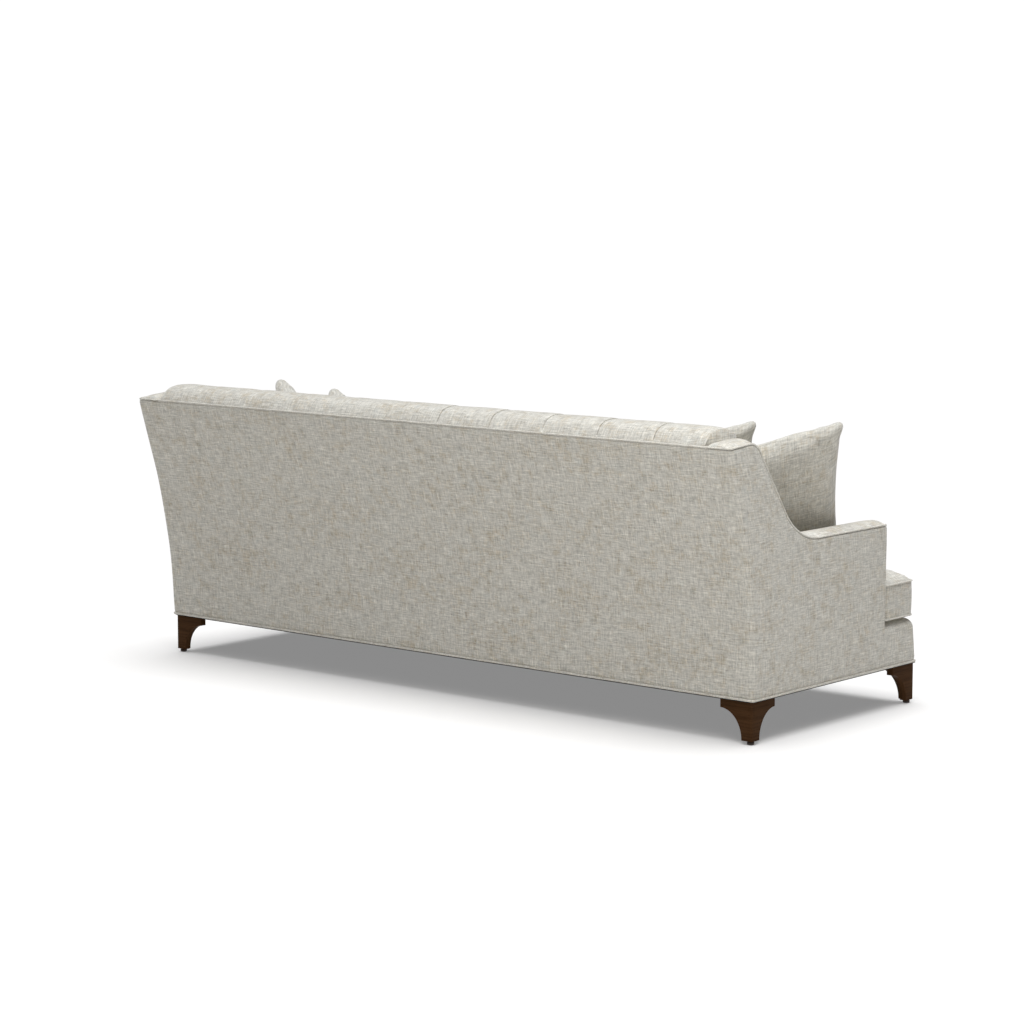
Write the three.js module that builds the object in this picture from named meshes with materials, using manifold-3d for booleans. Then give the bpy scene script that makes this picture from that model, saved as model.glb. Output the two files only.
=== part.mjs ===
import * as THREE from 'three';
import { mergeVertices } from 'three/addons/utils/BufferGeometryUtils.js';
import Module from 'manifold-3d';

const wasm = await Module();
wasm.setup();

// A long upholstered sofa: raked straight back, scooped wings, low arms, T cushions and bracket feet.
// Millimetres, +Z up, front towards -Y. Until the last lines y = 0 is the rear edge of the base.

// Body
const baseWidth = 2448;
const baseDepth = 878.7;
const backFlare = 10.5;
const backHeight = 886.3;
const backBend = 1900;
const backRake = 16.2;
const cornerBase = 17;
const cornerTop = 12;
const armHeight = 586.5;
const armThickness = 92;
const armSetback = 188.7;
const wingRise = 10;
const wingPeakBack = 129;
const wingSlope = 54.7;
const wingBreakRadius = 60;
const armScoopRadius = 213;

// Covers and pads
const gap = 0.3;
const skin = 10;
const weltDiameter = 8.6;
const weltProud = 1.5;
const weltCorner = 8;
const armCrown = 14;
const armRoll = 26;
const armCap = 25;
const slabThickness = 42;
const borderPad = 12;
const borderFront = 28.7;
const borderLean = 13;
const borderRound = 32;
const borderCorner = 18;
const borderLip = 25;
const borderLipDepth = 91;
const deckThickness = 27.6;

// Inside back
const crestRise = 47.5;
const crestReach = 82;
const crestFront = 96;
const crestDrop = 48;
const seatLineDepth = 205;
const padFoot = 14;
const tuftPitch = 209.6;
const tuftRow = 130;
const tuftStart = 250;
const tuftDepth = 24;
const crestPleat = 6;
const padEndRound = 26;

// Wooden frame
const railThickness = 32;
const railHeight = 96;
const frameDepth = 45;
const topRailHeight = 60;
const topRailDrop = 31;
const armRailHeight = 60;
const stumpDepth = 60;
const uprightThickness = 32;
const stretcherHeight = 66;
const blockSize = 90;
const blockHeight = 60;

// Springs and dust cover
const wire = 3.8;
const springCrown = 14;
const springSwing = 28;
const springInset = 14;
const dustCover = 2;

// Feet
const legTop = 130.4;
const legReach = 115;
const legBoard = 23;
const legBlockDrop = 29;
const footWidth = 38;
const legSetIn = 13;
const frontLegSetIn = 4;
const glideHeight = 11;
const glideDiameter = 22;
const glideSetIn = 12;

// Seat cushions
const seatSetIn = 22.7;
const cushionBoxing = 107;
const cushionUnder = 9;
const cushionCrown = 39;
const cushionFit = 3;
const cushionBulge = 2.4;
const sidePull = 5;
const crownReach = 110;

// Throw pillows: size, then place of the middle from the arm and from the seat line, with angles in degrees
// and how far the upper rear corner has slumped
const pillowSize = 508;
const pillowThickness = 155;
const pillowSeam = 4;
const pillowPullShare = 0.075;
const pillowFootShare = 0.027;
const pillowCornerShare = 0.03;
const pillowCornerPower = 6;
const pillowFillPower = 0.3;
const outerPillow = { fromArm: 190, fromBack: 209, lean: 24, turn: 42, roll: 3.2, slump: 105 };
const innerPillow = { fromArm: 486, fromBack: 160, lean: 22, turn: 41, roll: 0.4, slump: 106 };

// Counts
const backRowCount = 9;
const arcSteps = 4;
const crestSteps = 8;
const weltSides = 8;
const wireSides = 4;
const springLoops = 14;
const springsPerSeat = 3;
const seatCount = 3;

// Derived sizes
const { degToRad, lerp, mapLinear, smoothstep } = THREE.MathUtils;
const panelBottom = legTop + gap + weltDiameter + gap;
const railBottom = legTop + gap + dustCover + gap;
const railTop = railBottom + railHeight;
const weltRadius = weltDiameter / 2;
const backPanelTop = backHeight - weltDiameter - gap;
const backWidth = baseWidth + 2 * backFlare;
const wingPeak = backHeight + wingRise;
const crestHeight = backHeight + crestRise;
const armFrontY = armSetback - baseDepth;
const halfBase = baseWidth / 2 - weltProud;
const innerHalf = baseWidth / 2 - armThickness;
const uprightPlace = innerHalf / seatCount;
const deckBottom = railTop + gap + wire + springCrown + gap;
const deckHeight = deckBottom + deckThickness;
const slabOuter = innerHalf + slabThickness;
const frameOuter = halfBase - borderPad - gap;
const frameInner = slabOuter + gap;
const overrun = baseDepth;
const fabric = { color: 0xbdb8ab, roughness: 0.95, metalness: 0 };
const fabricTrim = { color: 0xc9c4b7, roughness: 0.95, metalness: 0 };
const walnut = { color: 0x3d2519, roughness: 0.45, metalness: 0 };
const frameWood = { color: 0xc7a676, roughness: 0.8, metalness: 0 };
const steel = { color: 0x8a8d91, roughness: 0.4, metalness: 1 };
const darkCloth = { color: 0x2a2a2b, roughness: 1, metalness: 0 };
const nylon = { color: 0x4a3a30, roughness: 0.5, metalness: 0 };

const sofa = new THREE.Group();

function add(name, geometry, look) {
  const mesh = new THREE.Mesh(geometry, new THREE.MeshStandardMaterial(look));
  mesh.name = name;
  sofa.add(mesh);
}

// Adds a piece drawn at the +X end, and its mirror image at the other
function addPair(name, geometry, look) {
  add(`${name}_right`, geometry, look);
  add(`${name}_left`, outward(geometry.clone().scale(-1, 1, 1)), look);
}

// Turns the faces of a closed geometry outwards
function outward(geometry) {
  const points = geometry.getAttribute('position');
  const index = geometry.getIndex();
  const [a, b, c] = [new THREE.Vector3(), new THREE.Vector3(), new THREE.Vector3()];
  let volume = 0;
  for (let i = 0; i < index.count; i += 3) {
    [a, b, c].forEach((p, k) => p.fromBufferAttribute(points, index.getX(i + k)));
    volume += a.dot(b.cross(c));
  }
  if (volume < 0) {
    for (let i = 0; i < index.count; i += 3) {
      const first = index.getX(i);
      index.setX(i, index.getX(i + 1));
      index.setX(i + 1, first);
    }
  }
  geometry.computeVertexNormals();
  return geometry;
}

function welded(geometry) {
  const bare = geometry.clone();
  bare.deleteAttribute('normal');
  bare.deleteAttribute('uv');
  return outward(mergeVertices(bare));
}

function fromPoints(positions, index) {
  const geometry = new THREE.BufferGeometry();
  geometry.setAttribute('position', new THREE.Float32BufferAttribute(positions, 3));
  geometry.setIndex(index);
  return outward(geometry);
}

// Triangulates a flat ring of points in the plane it faces most
function ringFaces(ring) {
  const normal = new THREE.Vector3();
  ring.forEach((p, i) => normal.add(p.clone().cross(ring[(i + 1) % ring.length])));
  const size = [Math.abs(normal.x), Math.abs(normal.y), Math.abs(normal.z)];
  const drop = size.indexOf(Math.max(...size));
  const [h, v] = [[1, 2], [2, 0], [0, 1]][drop];
  const flat = ring.map(p => new THREE.Vector2(p.getComponent(h), p.getComponent(v)));
  if (THREE.ShapeUtils.isClockWise(flat)) {
    const faces = THREE.ShapeUtils.triangulateShape(flat.reverse(), []);
    return faces.map(f => f.map(i => ring.length - 1 - i).reverse());
  }
  return THREE.ShapeUtils.triangulateShape(flat, []);
}

// Joins rings of equally many points into one closed body, capped or closed on itself.
// Where depths are given, each four-sided face is split along its deeper diagonal.
function loft(rings, loop = false, depths = null) {
  const count = rings[0].length;
  const index = [];
  const spans = loop ? rings.length : rings.length - 1;
  for (let i = 0; i < spans; i++) {
    const next = (i + 1) % rings.length;
    for (let j = 0; j < count; j++) {
      const k = (j + 1) % count;
      const [a, b, c, d] = [i * count + j, i * count + k, next * count + k, next * count + j];
      const across = depths && depths[i][k] + depths[next][j] > depths[i][j] + depths[next][k];
      index.push(...(across ? [a, b, d, b, c, d] : [a, b, c, a, c, d]));
    }
  }
  if (!loop) {
    const last = (rings.length - 1) * count;
    ringFaces(rings[0]).forEach(([a, b, c]) => index.push(c, b, a));
    ringFaces(rings[0]).forEach(([a, b, c]) => index.push(last + a, last + b, last + c));
  }
  return fromPoints(rings.flat().flatMap(p => p.toArray()), index);
}

function solid(geometry) {
  const mesh = welded(geometry);
  return new wasm.Manifold(new wasm.Mesh({
    numProp: 3,
    vertProperties: new Float32Array(mesh.getAttribute('position').array),
    triVerts: new Uint32Array(mesh.getIndex().array),
  }));
}

function geometryOf(body) {
  const mesh = body.getMesh();
  return fromPoints(Array.from(mesh.vertProperties), Array.from(mesh.triVerts));
}

// Extrudes an outline of [y, z] points along X
function alongX(outline, x0, x1) {
  const shape = new THREE.Shape(outline.map(([y, z]) => new THREE.Vector2(y, z)));
  const geometry = new THREE.ExtrudeGeometry(shape, { depth: x1 - x0, bevelEnabled: false });
  const [toX, toY] = [new THREE.Vector3(1, 0, 0), new THREE.Vector3(0, 1, 0)];
  const toZ = new THREE.Vector3(0, 0, 1);
  geometry.applyMatrix4(new THREE.Matrix4().makeBasis(toY, toZ, toX));
  return welded(geometry.translate(x0, 0, 0));
}

// Extrudes an outline of [x, y] points upwards
function upwards(outline, z0, z1) {
  const shape = new THREE.Shape(outline.map(([x, y]) => new THREE.Vector2(x, y)));
  const geometry = new THREE.ExtrudeGeometry(shape, { depth: z1 - z0, bevelEnabled: false });
  return welded(geometry.translate(0, 0, z0));
}

function board(x0, x1, y0, y1, z0, z1) {
  return upwards([[x0, y0], [x1, y0], [x1, y1], [x0, y1]], z0, z1);
}

function steps(from, to, count) {
  return Array.from({ length: count + 1 }, (_, i) => lerp(from, to, i / count));
}

// Rounds the inner corners of an open path of [a, b] points with the given radii
function rounded(points, radii) {
  const path = [points[0]];
  for (let i = 1; i < points.length - 1; i++) {
    const corner = new THREE.Vector2(...points[i]);
    const before = new THREE.Vector2(...points[i - 1]).sub(corner).normalize();
    const after = new THREE.Vector2(...points[i + 1]).sub(corner).normalize();
    const half = Math.acos(before.dot(after)) / 2;
    const inward = before.clone().add(after).normalize();
    const centre = inward.multiplyScalar(radii[i - 1] / Math.sin(half)).add(corner);
    const start = before.multiplyScalar(radii[i - 1] / Math.tan(half)).add(corner).sub(centre);
    const end = after.multiplyScalar(radii[i - 1] / Math.tan(half)).add(corner).sub(centre);
    const turn = Math.atan2(start.cross(end), start.dot(end));
    for (const angle of steps(0, turn, 2 * arcSteps)) {
      path.push(start.clone().rotateAround(new THREE.Vector2(), angle).add(centre).toArray());
    }
  }
  path.push(points.at(-1));
  return path;
}

// Moves a path of [a, b] points sideways, or an outline when it is closed
function shifted(points, distance, closed = false) {
  const at = i => new THREE.Vector2(...points[(i + points.length) % points.length]);
  const leftOf = (i, j) => at(j).sub(at(i)).normalize().rotateAround(new THREE.Vector2(), Math.PI / 2);
  return points.map((_, i) => {
    const first = !closed && i === 0 ? leftOf(0, 1) : leftOf(i - 1, i);
    const second = !closed && i === points.length - 1 ? first : leftOf(i, i + 1);
    const normal = first.clone().add(second).normalize();
    return at(i).addScaledVector(normal, distance / normal.dot(second)).toArray();
  });
}

// Value at a place on a path of [place, value] points, with places in falling order
function along(path, place) {
  const i = Math.min(Math.max(path.findIndex(p => p[0] <= place), 1), path.length - 1);
  return mapLinear(place, path[i - 1][0], path[i][0], path[i - 1][1], path[i][1]);
}

// Sweeps a round section along a path whose sides lie across the given normal
function tube(path, radius, sides, normal, loop = false) {
  const at = i => path[loop ? (i + path.length) % path.length : Math.min(Math.max(i, 0), path.length - 1)];
  const rings = path.map((point, i) => {
    const tangent = at(i + 1).clone().sub(at(i - 1)).normalize();
    const across = tangent.clone().cross(normal).normalize();
    const up = across.clone().cross(tangent).normalize();
    return steps(0, 2 * Math.PI, sides).slice(1).map(turn => point.clone()
      .addScaledVector(across, radius * Math.cos(turn)).addScaledVector(up, radius * Math.sin(turn)));
  });
  return loft(rings, loop);
}

// Half width of the body at a height
function halfWidthAt(z) {
  return mapLinear(z, legTop, backHeight, baseWidth / 2, backWidth / 2) - weltProud;
}

// Rear face of the back: upright at the base, bent through an arc, then straight
const rake = degToRad(backRake);
const bendRise = backBend * Math.sin(rake);
function trueBackFace(z) {
  const rise = Math.min(Math.max(z - panelBottom, 0), bendRise);
  const straight = Math.max(z - panelBottom - bendRise, 0);
  return backBend - Math.sqrt(backBend ** 2 - rise ** 2) + straight * Math.tan(rake) - weltProud;
}
const backRows = steps(legTop, backHeight, backRowCount);
const backLine = backRows.map(z => [z, trueBackFace(z)]).reverse();
const backFaceAt = z => along(backLine, z);
const rowsBetween = (z0, z1) => [z0, ...backRows.filter(z => z > z0 && z < z1), z1];
const cornerAt = z => mapLinear(z, legTop, backHeight, cornerBase, cornerTop);

// Line of the outer welt over the wing and the arm, from the back to the arm's front
const backTopY = backFaceAt(backPanelTop);
const peakY = backTopY - wingPeakBack;
const slopeFootY = peakY - (wingPeak - armHeight) / Math.tan(degToRad(wingSlope));
const wingLine = rounded(
  [[backTopY, backHeight], [peakY, wingPeak], [slopeFootY, armHeight], [armFrontY, armHeight]],
  [wingBreakRadius, armScoopRadius],
);
const steepLine = wingLine.map(([y], i) => {
  const [p, q] = [wingLine[Math.max(i - 1, 0)], wingLine[Math.min(i + 1, wingLine.length - 1)]];
  return [y, Math.hypot(q[0] - p[0], q[1] - p[1]) / Math.abs(q[0] - p[0])];
});
const capBottomLine = wingLine.map(([y, z], i) => [y, z - armCap * steepLine[i][1]]);

// Outer covers
function sideEnds(half, y, radius) {
  const arc = steps(0, Math.PI / 2, arcSteps);
  const right = arc.map(a => [half - radius * (1 - Math.cos(a)), y - radius * (1 - Math.sin(a))]);
  return [...right, ...right.map(([x, depth]) => [-x, depth]).reverse()];
}

function outsideBack() {
  return loft(rowsBetween(panelBottom, backPanelTop).map(z => {
    const outer = sideEnds(halfWidthAt(z), backFaceAt(z), cornerAt(z));
    const inner = sideEnds(halfWidthAt(z) - skin, backFaceAt(z) - skin, cornerAt(z) - skin).reverse();
    return [...outer, ...inner].map(([x, y]) => new THREE.Vector3(x, y, z));
  }));
}

function outsideArm() {
  const rear = rowsBetween(panelBottom, backPanelTop).map(z => [backFaceAt(z) - cornerAt(z) - gap, z]);
  const top = shifted(wingLine, weltDiameter + gap).filter(([y]) => y < rear.at(-1)[0] - skin);
  const panel = alongX([...rear, ...top, [armFrontY, panelBottom]], -skin, 0);
  const points = panel.getAttribute('position');
  for (let i = 0; i < points.count; i++) points.setX(i, points.getX(i) + halfWidthAt(points.getZ(i)));
  return outward(panel);
}

// Crowned top of the arm or wing from the outer edge to the inner face, as [x, z] points
const crownTurn = degToRad(135);
function armTop(y) {
  const line = along(wingLine, y) - weltRadius;
  const outer = halfWidthAt(line) - skin - gap;
  const crown = steps(0, 1, arcSteps).map(t => [
    lerp(outer, innerHalf + armRoll, t),
    line + armCrown * Math.sin(t * crownTurn),
  ]);
  const [, rollTop] = crown.at(-1);
  const steep = along(steepLine, y);
  const roll = steps(0, Math.PI / 2, arcSteps).slice(1).map(a => [
    innerHalf + armRoll * (1 - Math.sin(a)),
    rollTop - armRoll * steep * (1 - Math.cos(a)),
  ]);
  return [...crown, ...roll];
}

function insideArm() {
  const foot = railTop + gap;
  const rearmost = backFaceAt(capBottomLine[0][1]) - skin - gap;
  const foremost = armFrontY + skin + gap;
  const between = wingLine.map(p => p[0]).filter(y => y < rearmost && y > foremost);
  const places = [rearmost, ...between, foremost];
  const rings = places.map(y => {
    const top = armTop(y);
    const cap = along(capBottomLine, y);
    const section = [...top, [innerHalf, foot], [slabOuter, foot], [slabOuter, cap], [top[0][0], cap]];
    return section.map(([x, z]) => new THREE.Vector3(x, y, z));
  });
  return geometryOf(solid(loft(rings)).intersect(insideOfCovers()).subtract(topRailWay()));
}

// Way past the inside arm pad for the back's top rail
function topRailWay() {
  return solid(rakedBoard(frameDepth + 3 * gap, railBottom, topRailTop + gap, 0, slabOuter + gap / 2, -gap));
}

// Space inside the outer covers, as a cutting body
function insideOfCovers() {
  return solid(loft(rowsBetween(legTop, backHeight + overrun).map(z => {
    const level = Math.min(z, backHeight);
    const half = halfWidthAt(level) - skin - gap;
    const rear = sideEnds(half, backFaceAt(level) - skin - gap, cornerAt(level) - skin);
    return [...rear, [-half, -overrun], [half, -overrun]].map(([x, y]) => new THREE.Vector3(x, y, z));
  })));
}

function armFront() {
  const top = armTop(armFrontY);
  const foot = railTop + gap;
  const outline = [...top, [innerHalf, foot], [halfWidthAt(foot) - skin - gap, foot]];
  return loft([armFrontY, armFrontY + skin].map(y => outline.map(([x, z]) => new THREE.Vector3(x, y, z))));
}

// Padded border over the front rail, with a rounded top edge and a return at each end
function frontBorder() {
  const roundStart = deckHeight - borderRound;
  const upright = steps(0, 1, 2).map(t => [lerp(panelBottom, roundStart, t), borderLean * t, 0]);
  const round = steps(0, Math.PI / 2, arcSteps).slice(1).map(a => {
    const inset = borderRound * (1 - Math.cos(a));
    return [roundStart + borderRound * Math.sin(a), borderLean + inset, inset];
  });
  const corner = steps(0, Math.PI / 2, arcSteps);
  const rings = [...upright, ...round].map(([z, frontInset, sideInset]) => {
    const [half, front] = [halfBase - sideInset, frontInset + weltProud - baseDepth];
    const right = corner.map(a => [
      half - borderCorner * (1 - Math.cos(a)), front + borderCorner * (1 - Math.sin(a)),
    ]);
    const path = [[half, armFrontY - gap], ...right];
    return [...path, ...path.map(([x, y]) => [-x, y]).reverse()].map(([x, y]) => new THREE.Vector3(x, y, z));
  });
  const space = board(-frameOuter - gap, frameOuter + gap, borderFront - baseDepth, 0,
    -overrun, deckHeight - borderLip);
  const deck = board(-innerHalf, innerHalf, borderLipDepth - baseDepth, 0, -overrun, overrun);
  return geometryOf(solid(loft(rings)).subtract(solid(space)).subtract(solid(deck)));
}

// Welts
function bottomWelt() {
  const z = panelBottom - gap - weltRadius;
  const [half, rear] = [baseWidth / 2 - weltRadius, -weltRadius];
  const corner = (x, y, radius, from) => steps(from, from + Math.PI / 2, arcSteps)
    .map(a => new THREE.Vector3(x + radius * Math.cos(a), y + radius * Math.sin(a), z));
  const [side, front] = [half - weltCorner, weltRadius - baseDepth + weltCorner];
  const path = [
    ...corner(side, rear - weltCorner, weltCorner, 0),
    ...corner(-side, rear - weltCorner, weltCorner, Math.PI / 2),
    ...corner(-side, front, weltCorner, Math.PI),
    ...corner(side, front, weltCorner, -Math.PI / 2),
  ];
  return tube(path, weltRadius, weltSides, new THREE.Vector3(0, 0, 1), true);
}

function backWelt() {
  const [y, z] = [backTopY - weltRadius, backHeight - weltRadius];
  const half = halfWidthAt(z) - weltDiameter - gap;
  const path = [-half, half].map(x => new THREE.Vector3(x, y, z));
  return tube(path, weltRadius, weltSides, new THREE.Vector3(0, 0, 1));
}

function armWelt() {
  const path = shifted(wingLine, weltRadius)
    .map(([y, z]) => new THREE.Vector3(halfWidthAt(z) - weltRadius, y, z));
  return tube(path, weltRadius, weltSides, new THREE.Vector3(1, 0, 0));
}

// Tufted inside back: crest roll, leaning face and buttoned diamonds
const crestBackY = backFaceAt(backPanelTop) - skin - gap;
const padRearAt = z => backFaceAt(z) - skin - gap - frameDepth - gap;
const topRailTop = backHeight - topRailDrop;
const crestShoulderShares = [0.35, 0.74];
const crestNoseShares = [0.58, 0.26];
const faceShares = [0, 0.35, 0.7, 1];
function padFace() {
  const top = crestBackY - crestReach;
  const front = top - crestFront;
  const seatLine = deckHeight + cushionBoxing + cushionCrown;
  const faceTop = crestHeight - crestDrop;
  const [shoulderIn, shoulderUp] = crestShoulderShares;
  const [noseOut, noseDown] = crestNoseShares;
  const points = [
    [crestBackY, backHeight - weltRadius],
    [lerp(crestBackY, top, shoulderIn), lerp(backHeight, crestHeight, shoulderUp)],
    [top, crestHeight],
    [lerp(top, front, noseOut), lerp(crestHeight, faceTop, noseDown)],
    ...faceShares.map(t => [lerp(front, -seatLineDepth, t), lerp(faceTop, seatLine, t)]),
    [-seatLineDepth - padFoot, deckHeight + gap],
  ];
  return new THREE.SplineCurve(points.map(([y, z]) => new THREE.Vector2(y, z)));
}

// Share of full height at a place across and down the face: none on a pleat, full inside a diamond
function swell(x, down) {
  const across = x / tuftPitch - 0.5;
  const below = Math.max(down - tuftStart, 0) / (2 * tuftRow);
  return Math.sqrt(Math.abs(Math.sin(Math.PI * (across + below)) * Math.sin(Math.PI * (across - below))));
}

function insideBack() {
  const curve = padFace();
  const length = curve.getLength();
  const half = innerHalf - gap;
  const columnCount = Math.floor(half / (tuftPitch / 4));
  const columns = steps(-columnCount * tuftPitch / 4, columnCount * tuftPitch / 4, 2 * columnCount);
  const faceRows = Math.floor((length - tuftStart - tuftDepth) / (tuftRow / 2));
  const downs = [
    ...steps(0, tuftStart, crestSteps),
    ...steps(tuftStart, tuftStart + faceRows * tuftRow / 2, faceRows).slice(1),
    length,
  ];
  const rear = rowsBetween(deckHeight + gap, topRailTop + gap).map(z => [padRearAt(z), z]);
  const shelf = [backFaceAt(topRailTop + gap) - skin - gap, topRailTop + gap];
  const depths = [];
  const rings = [-half, ...columns, half].map(x => {
    const end = Math.max(Math.abs(x) - half + padEndRound, 0) / padEndRound;
    const sinks = [];
    const face = downs.map((down, i) => {
      const point = curve.getPointAt(down / length);
      const out = curve.getTangentAt(down / length).rotateAround(new THREE.Vector2(), -Math.PI / 2);
      const depth = lerp(crestPleat, tuftDepth, smoothstep(down, tuftStart / 2, tuftStart));
      const edge = i === 0 || i === downs.length - 1;
      const sink = edge ? 0 : depth * (1 - swell(x, down)) + padEndRound / 2 * end ** 2;
      sinks.push(sink);
      return point.addScaledVector(out, -sink).toArray();
    });
    depths.push([...rear, shelf].map(() => 0).concat(sinks));
    return [...rear, shelf, ...face].map(([y, z]) => new THREE.Vector3(x, y, z));
  });
  return loft(rings, false, depths);
}

// Wooden frame
function rakedBoard(depth, z0, z1, x0, x1, forward = 0) {
  const rear = rowsBetween(z0, z1).map(z => [backFaceAt(z) - skin - gap - forward, z]);
  return alongX([...rear, ...rear.map(([y, z]) => [y - depth, z]).reverse()], x0, x1);
}

function wingBoard(armRailTop) {
  const top = capBottomLine.filter(([, z]) => z > armRailTop + gap)
    .map(([y, z]) => [y, z - gap * along(steepLine, y)]);
  const postTop = along(capBottomLine, backTopY) - gap;
  const postFront = rowsBetween(armRailTop + gap, postTop - skin)
    .map(z => [backFaceAt(z) - skin - gap - frameDepth - gap, z]);
  const corner = postFront.at(-1)[0];
  const roof = top.filter(([y]) => y < corner);
  const foot = mapLinear(armRailTop + gap, ...top.slice(-2).map(p => p[1]), ...top.slice(-2).map(p => p[0]));
  const peak = [corner, along(capBottomLine, corner) - 2 * gap];
  const outline = [...postFront, peak, ...roof, [foot, armRailTop + gap]];
  return alongX(outline, frameInner, frameOuter);
}

function addFrame() {
  const postHalf = frameInner - gap;
  const sideFrontY = borderFront - baseDepth + gap + railThickness + gap;
  const postFrontY = backFaceAt(legTop) - skin - gap - frameDepth - gap;
  const rearRailY = backFaceAt(legTop) - skin - gap;
  const armRailTop = armHeight - armCap - gap;
  const armRailBottom = armRailTop - armRailHeight;
  const frontPostY = armFrontY + skin + gap;
  add('front_rail', board(-frameOuter, frameOuter, sideFrontY - gap - railThickness, sideFrontY - gap,
    railBottom, railTop), frameWood);
  add('back_bottom_rail', board(-postHalf, postHalf, rearRailY - railThickness, rearRailY,
    railBottom, railTop), frameWood);
  addPair('side_rail', board(frameInner, frameOuter, sideFrontY, postFrontY, railBottom, railTop), frameWood);
  const postTop = along(capBottomLine, backTopY) - skin;
  const post = rakedBoard(frameDepth, railBottom, postTop, frameInner, frameOuter);
  addPair('back_post', geometryOf(solid(post).intersect(insideOfCovers())), frameWood);
  add('back_top_rail', rakedBoard(frameDepth, topRailTop - topRailHeight, topRailTop,
    -postHalf, postHalf), frameWood);
  addPair('back_upright', rakedBoard(frameDepth, railTop + gap, topRailTop - topRailHeight - gap,
    uprightPlace - uprightThickness / 2, uprightPlace + uprightThickness / 2), frameWood);
  addPair('cross_stretcher', board(uprightPlace - uprightThickness / 2, uprightPlace + uprightThickness / 2,
    sideFrontY, rearRailY - railThickness - gap, railBottom, railBottom + stretcherHeight), frameWood);
  addPair('arm_stump', board(frameInner, frameOuter, frontPostY, frontPostY + stumpDepth,
    railTop + gap, armRailBottom - gap), frameWood);
  const railRearY = backFaceAt(armRailBottom) - skin - gap - frameDepth - gap;
  const armRail = board(frameInner, frameOuter, frontPostY, railRearY, armRailBottom, armRailTop);
  addPair('arm_rail', armRail, frameWood);
  addPair('wing_board', wingBoard(armRailTop), frameWood);
  const block = (y, way) => upwards([[postHalf, y], [postHalf - blockSize, y], [postHalf, y + way * blockSize]],
    railBottom, railBottom + blockHeight);
  addPair('front_corner_block', block(sideFrontY, 1), frameWood);
  addPair('rear_corner_block', block(rearRailY - railThickness - gap, -1), frameWood);
}

// Zigzag seat springs from the front rail to the back rail, arched under the deck
function seatSpring(x) {
  const front = borderFront - baseDepth + springInset;
  const rear = backFaceAt(legTop) - skin - springInset;
  const count = springLoops * 4;
  const path = steps(0, 1, count).map(t => new THREE.Vector3(
    x + springSwing * Math.sin(Math.PI * springLoops * t),
    lerp(front, rear, t),
    railTop + gap + wire / 2 + springCrown * Math.sin(Math.PI * t),
  ));
  return tube(path, wire / 2, wireSides, new THREE.Vector3(0, 0, 1));
}

function addSeat() {
  const spacing = 2 * innerHalf / (seatCount * springsPerSeat);
  for (let i = 0; i < seatCount * springsPerSeat; i++) {
    add(`seat_spring_${i + 1}`, seatSpring(spacing * (i + 0.5) - innerHalf), steel);
  }
  add('deck_pad', board(gap - innerHalf, innerHalf - gap, borderLipDepth - baseDepth + gap,
    padRearAt(deckBottom), deckBottom, deckHeight), fabric);
  const sheet = [...sideEnds(frameOuter, backFaceAt(legTop) - skin, cornerBase),
    [-frameOuter, borderFront - baseDepth], [frameOuter, borderFront - baseDepth]];
  add('dust_cover', upwards(sheet, legTop + gap, legTop + gap + dustCover), darkCloth);
}

// Distance from a point to the nearest side of an outline
function edgeDistance(outline, x, y) {
  const point = new THREE.Vector3(x, y, 0);
  const nearest = new THREE.Vector3();
  return Math.min(...outline.map(([ax, ay], i) => {
    const [bx, by] = outline[(i + 1) % outline.length];
    new THREE.Line3(new THREE.Vector3(ax, ay, 0), new THREE.Vector3(bx, by, 0))
      .closestPointToPoint(point, true, nearest);
    return nearest.distanceTo(point);
  }));
}

// Joins an upper and a lower grid of points by loops round their shared edge
function filledForm(upper, lower, middleLoops = []) {
  const [rows, columns] = [upper.length, upper[0].length];
  const triangles = [];
  const face = (a, b, c, d) => triangles.push(a, b, c, a, c, d);
  for (let i = 0; i < rows - 1; i++) {
    for (let j = 0; j < columns - 1; j++) {
      face(upper[i][j], upper[i][j + 1], upper[i + 1][j + 1], upper[i + 1][j]);
      face(lower[i][j], lower[i + 1][j], lower[i + 1][j + 1], lower[i][j + 1]);
    }
  }
  const loops = [rim(upper), ...middleLoops, rim(lower)];
  for (let k = 0; k < loops.length - 1; k++) {
    loops[k].forEach((point, i) => {
      const next = (i + 1) % loops[k].length;
      face(point, loops[k + 1][i], loops[k + 1][next], loops[k][next]);
    });
  }
  const geometry = new THREE.BufferGeometry().setFromPoints(triangles);
  return outward(mergeVertices(geometry));
}

// Points round the edge of a grid, in order
function rim(grid) {
  const last = grid.length - 1;
  return [
    ...grid[0].slice(0, -1),
    ...grid.slice(0, -1).map(row => row.at(-1)),
    ...grid[last].slice(1).reverse(),
    ...grid.slice(1).map(row => row[0]).reverse(),
  ];
}

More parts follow.
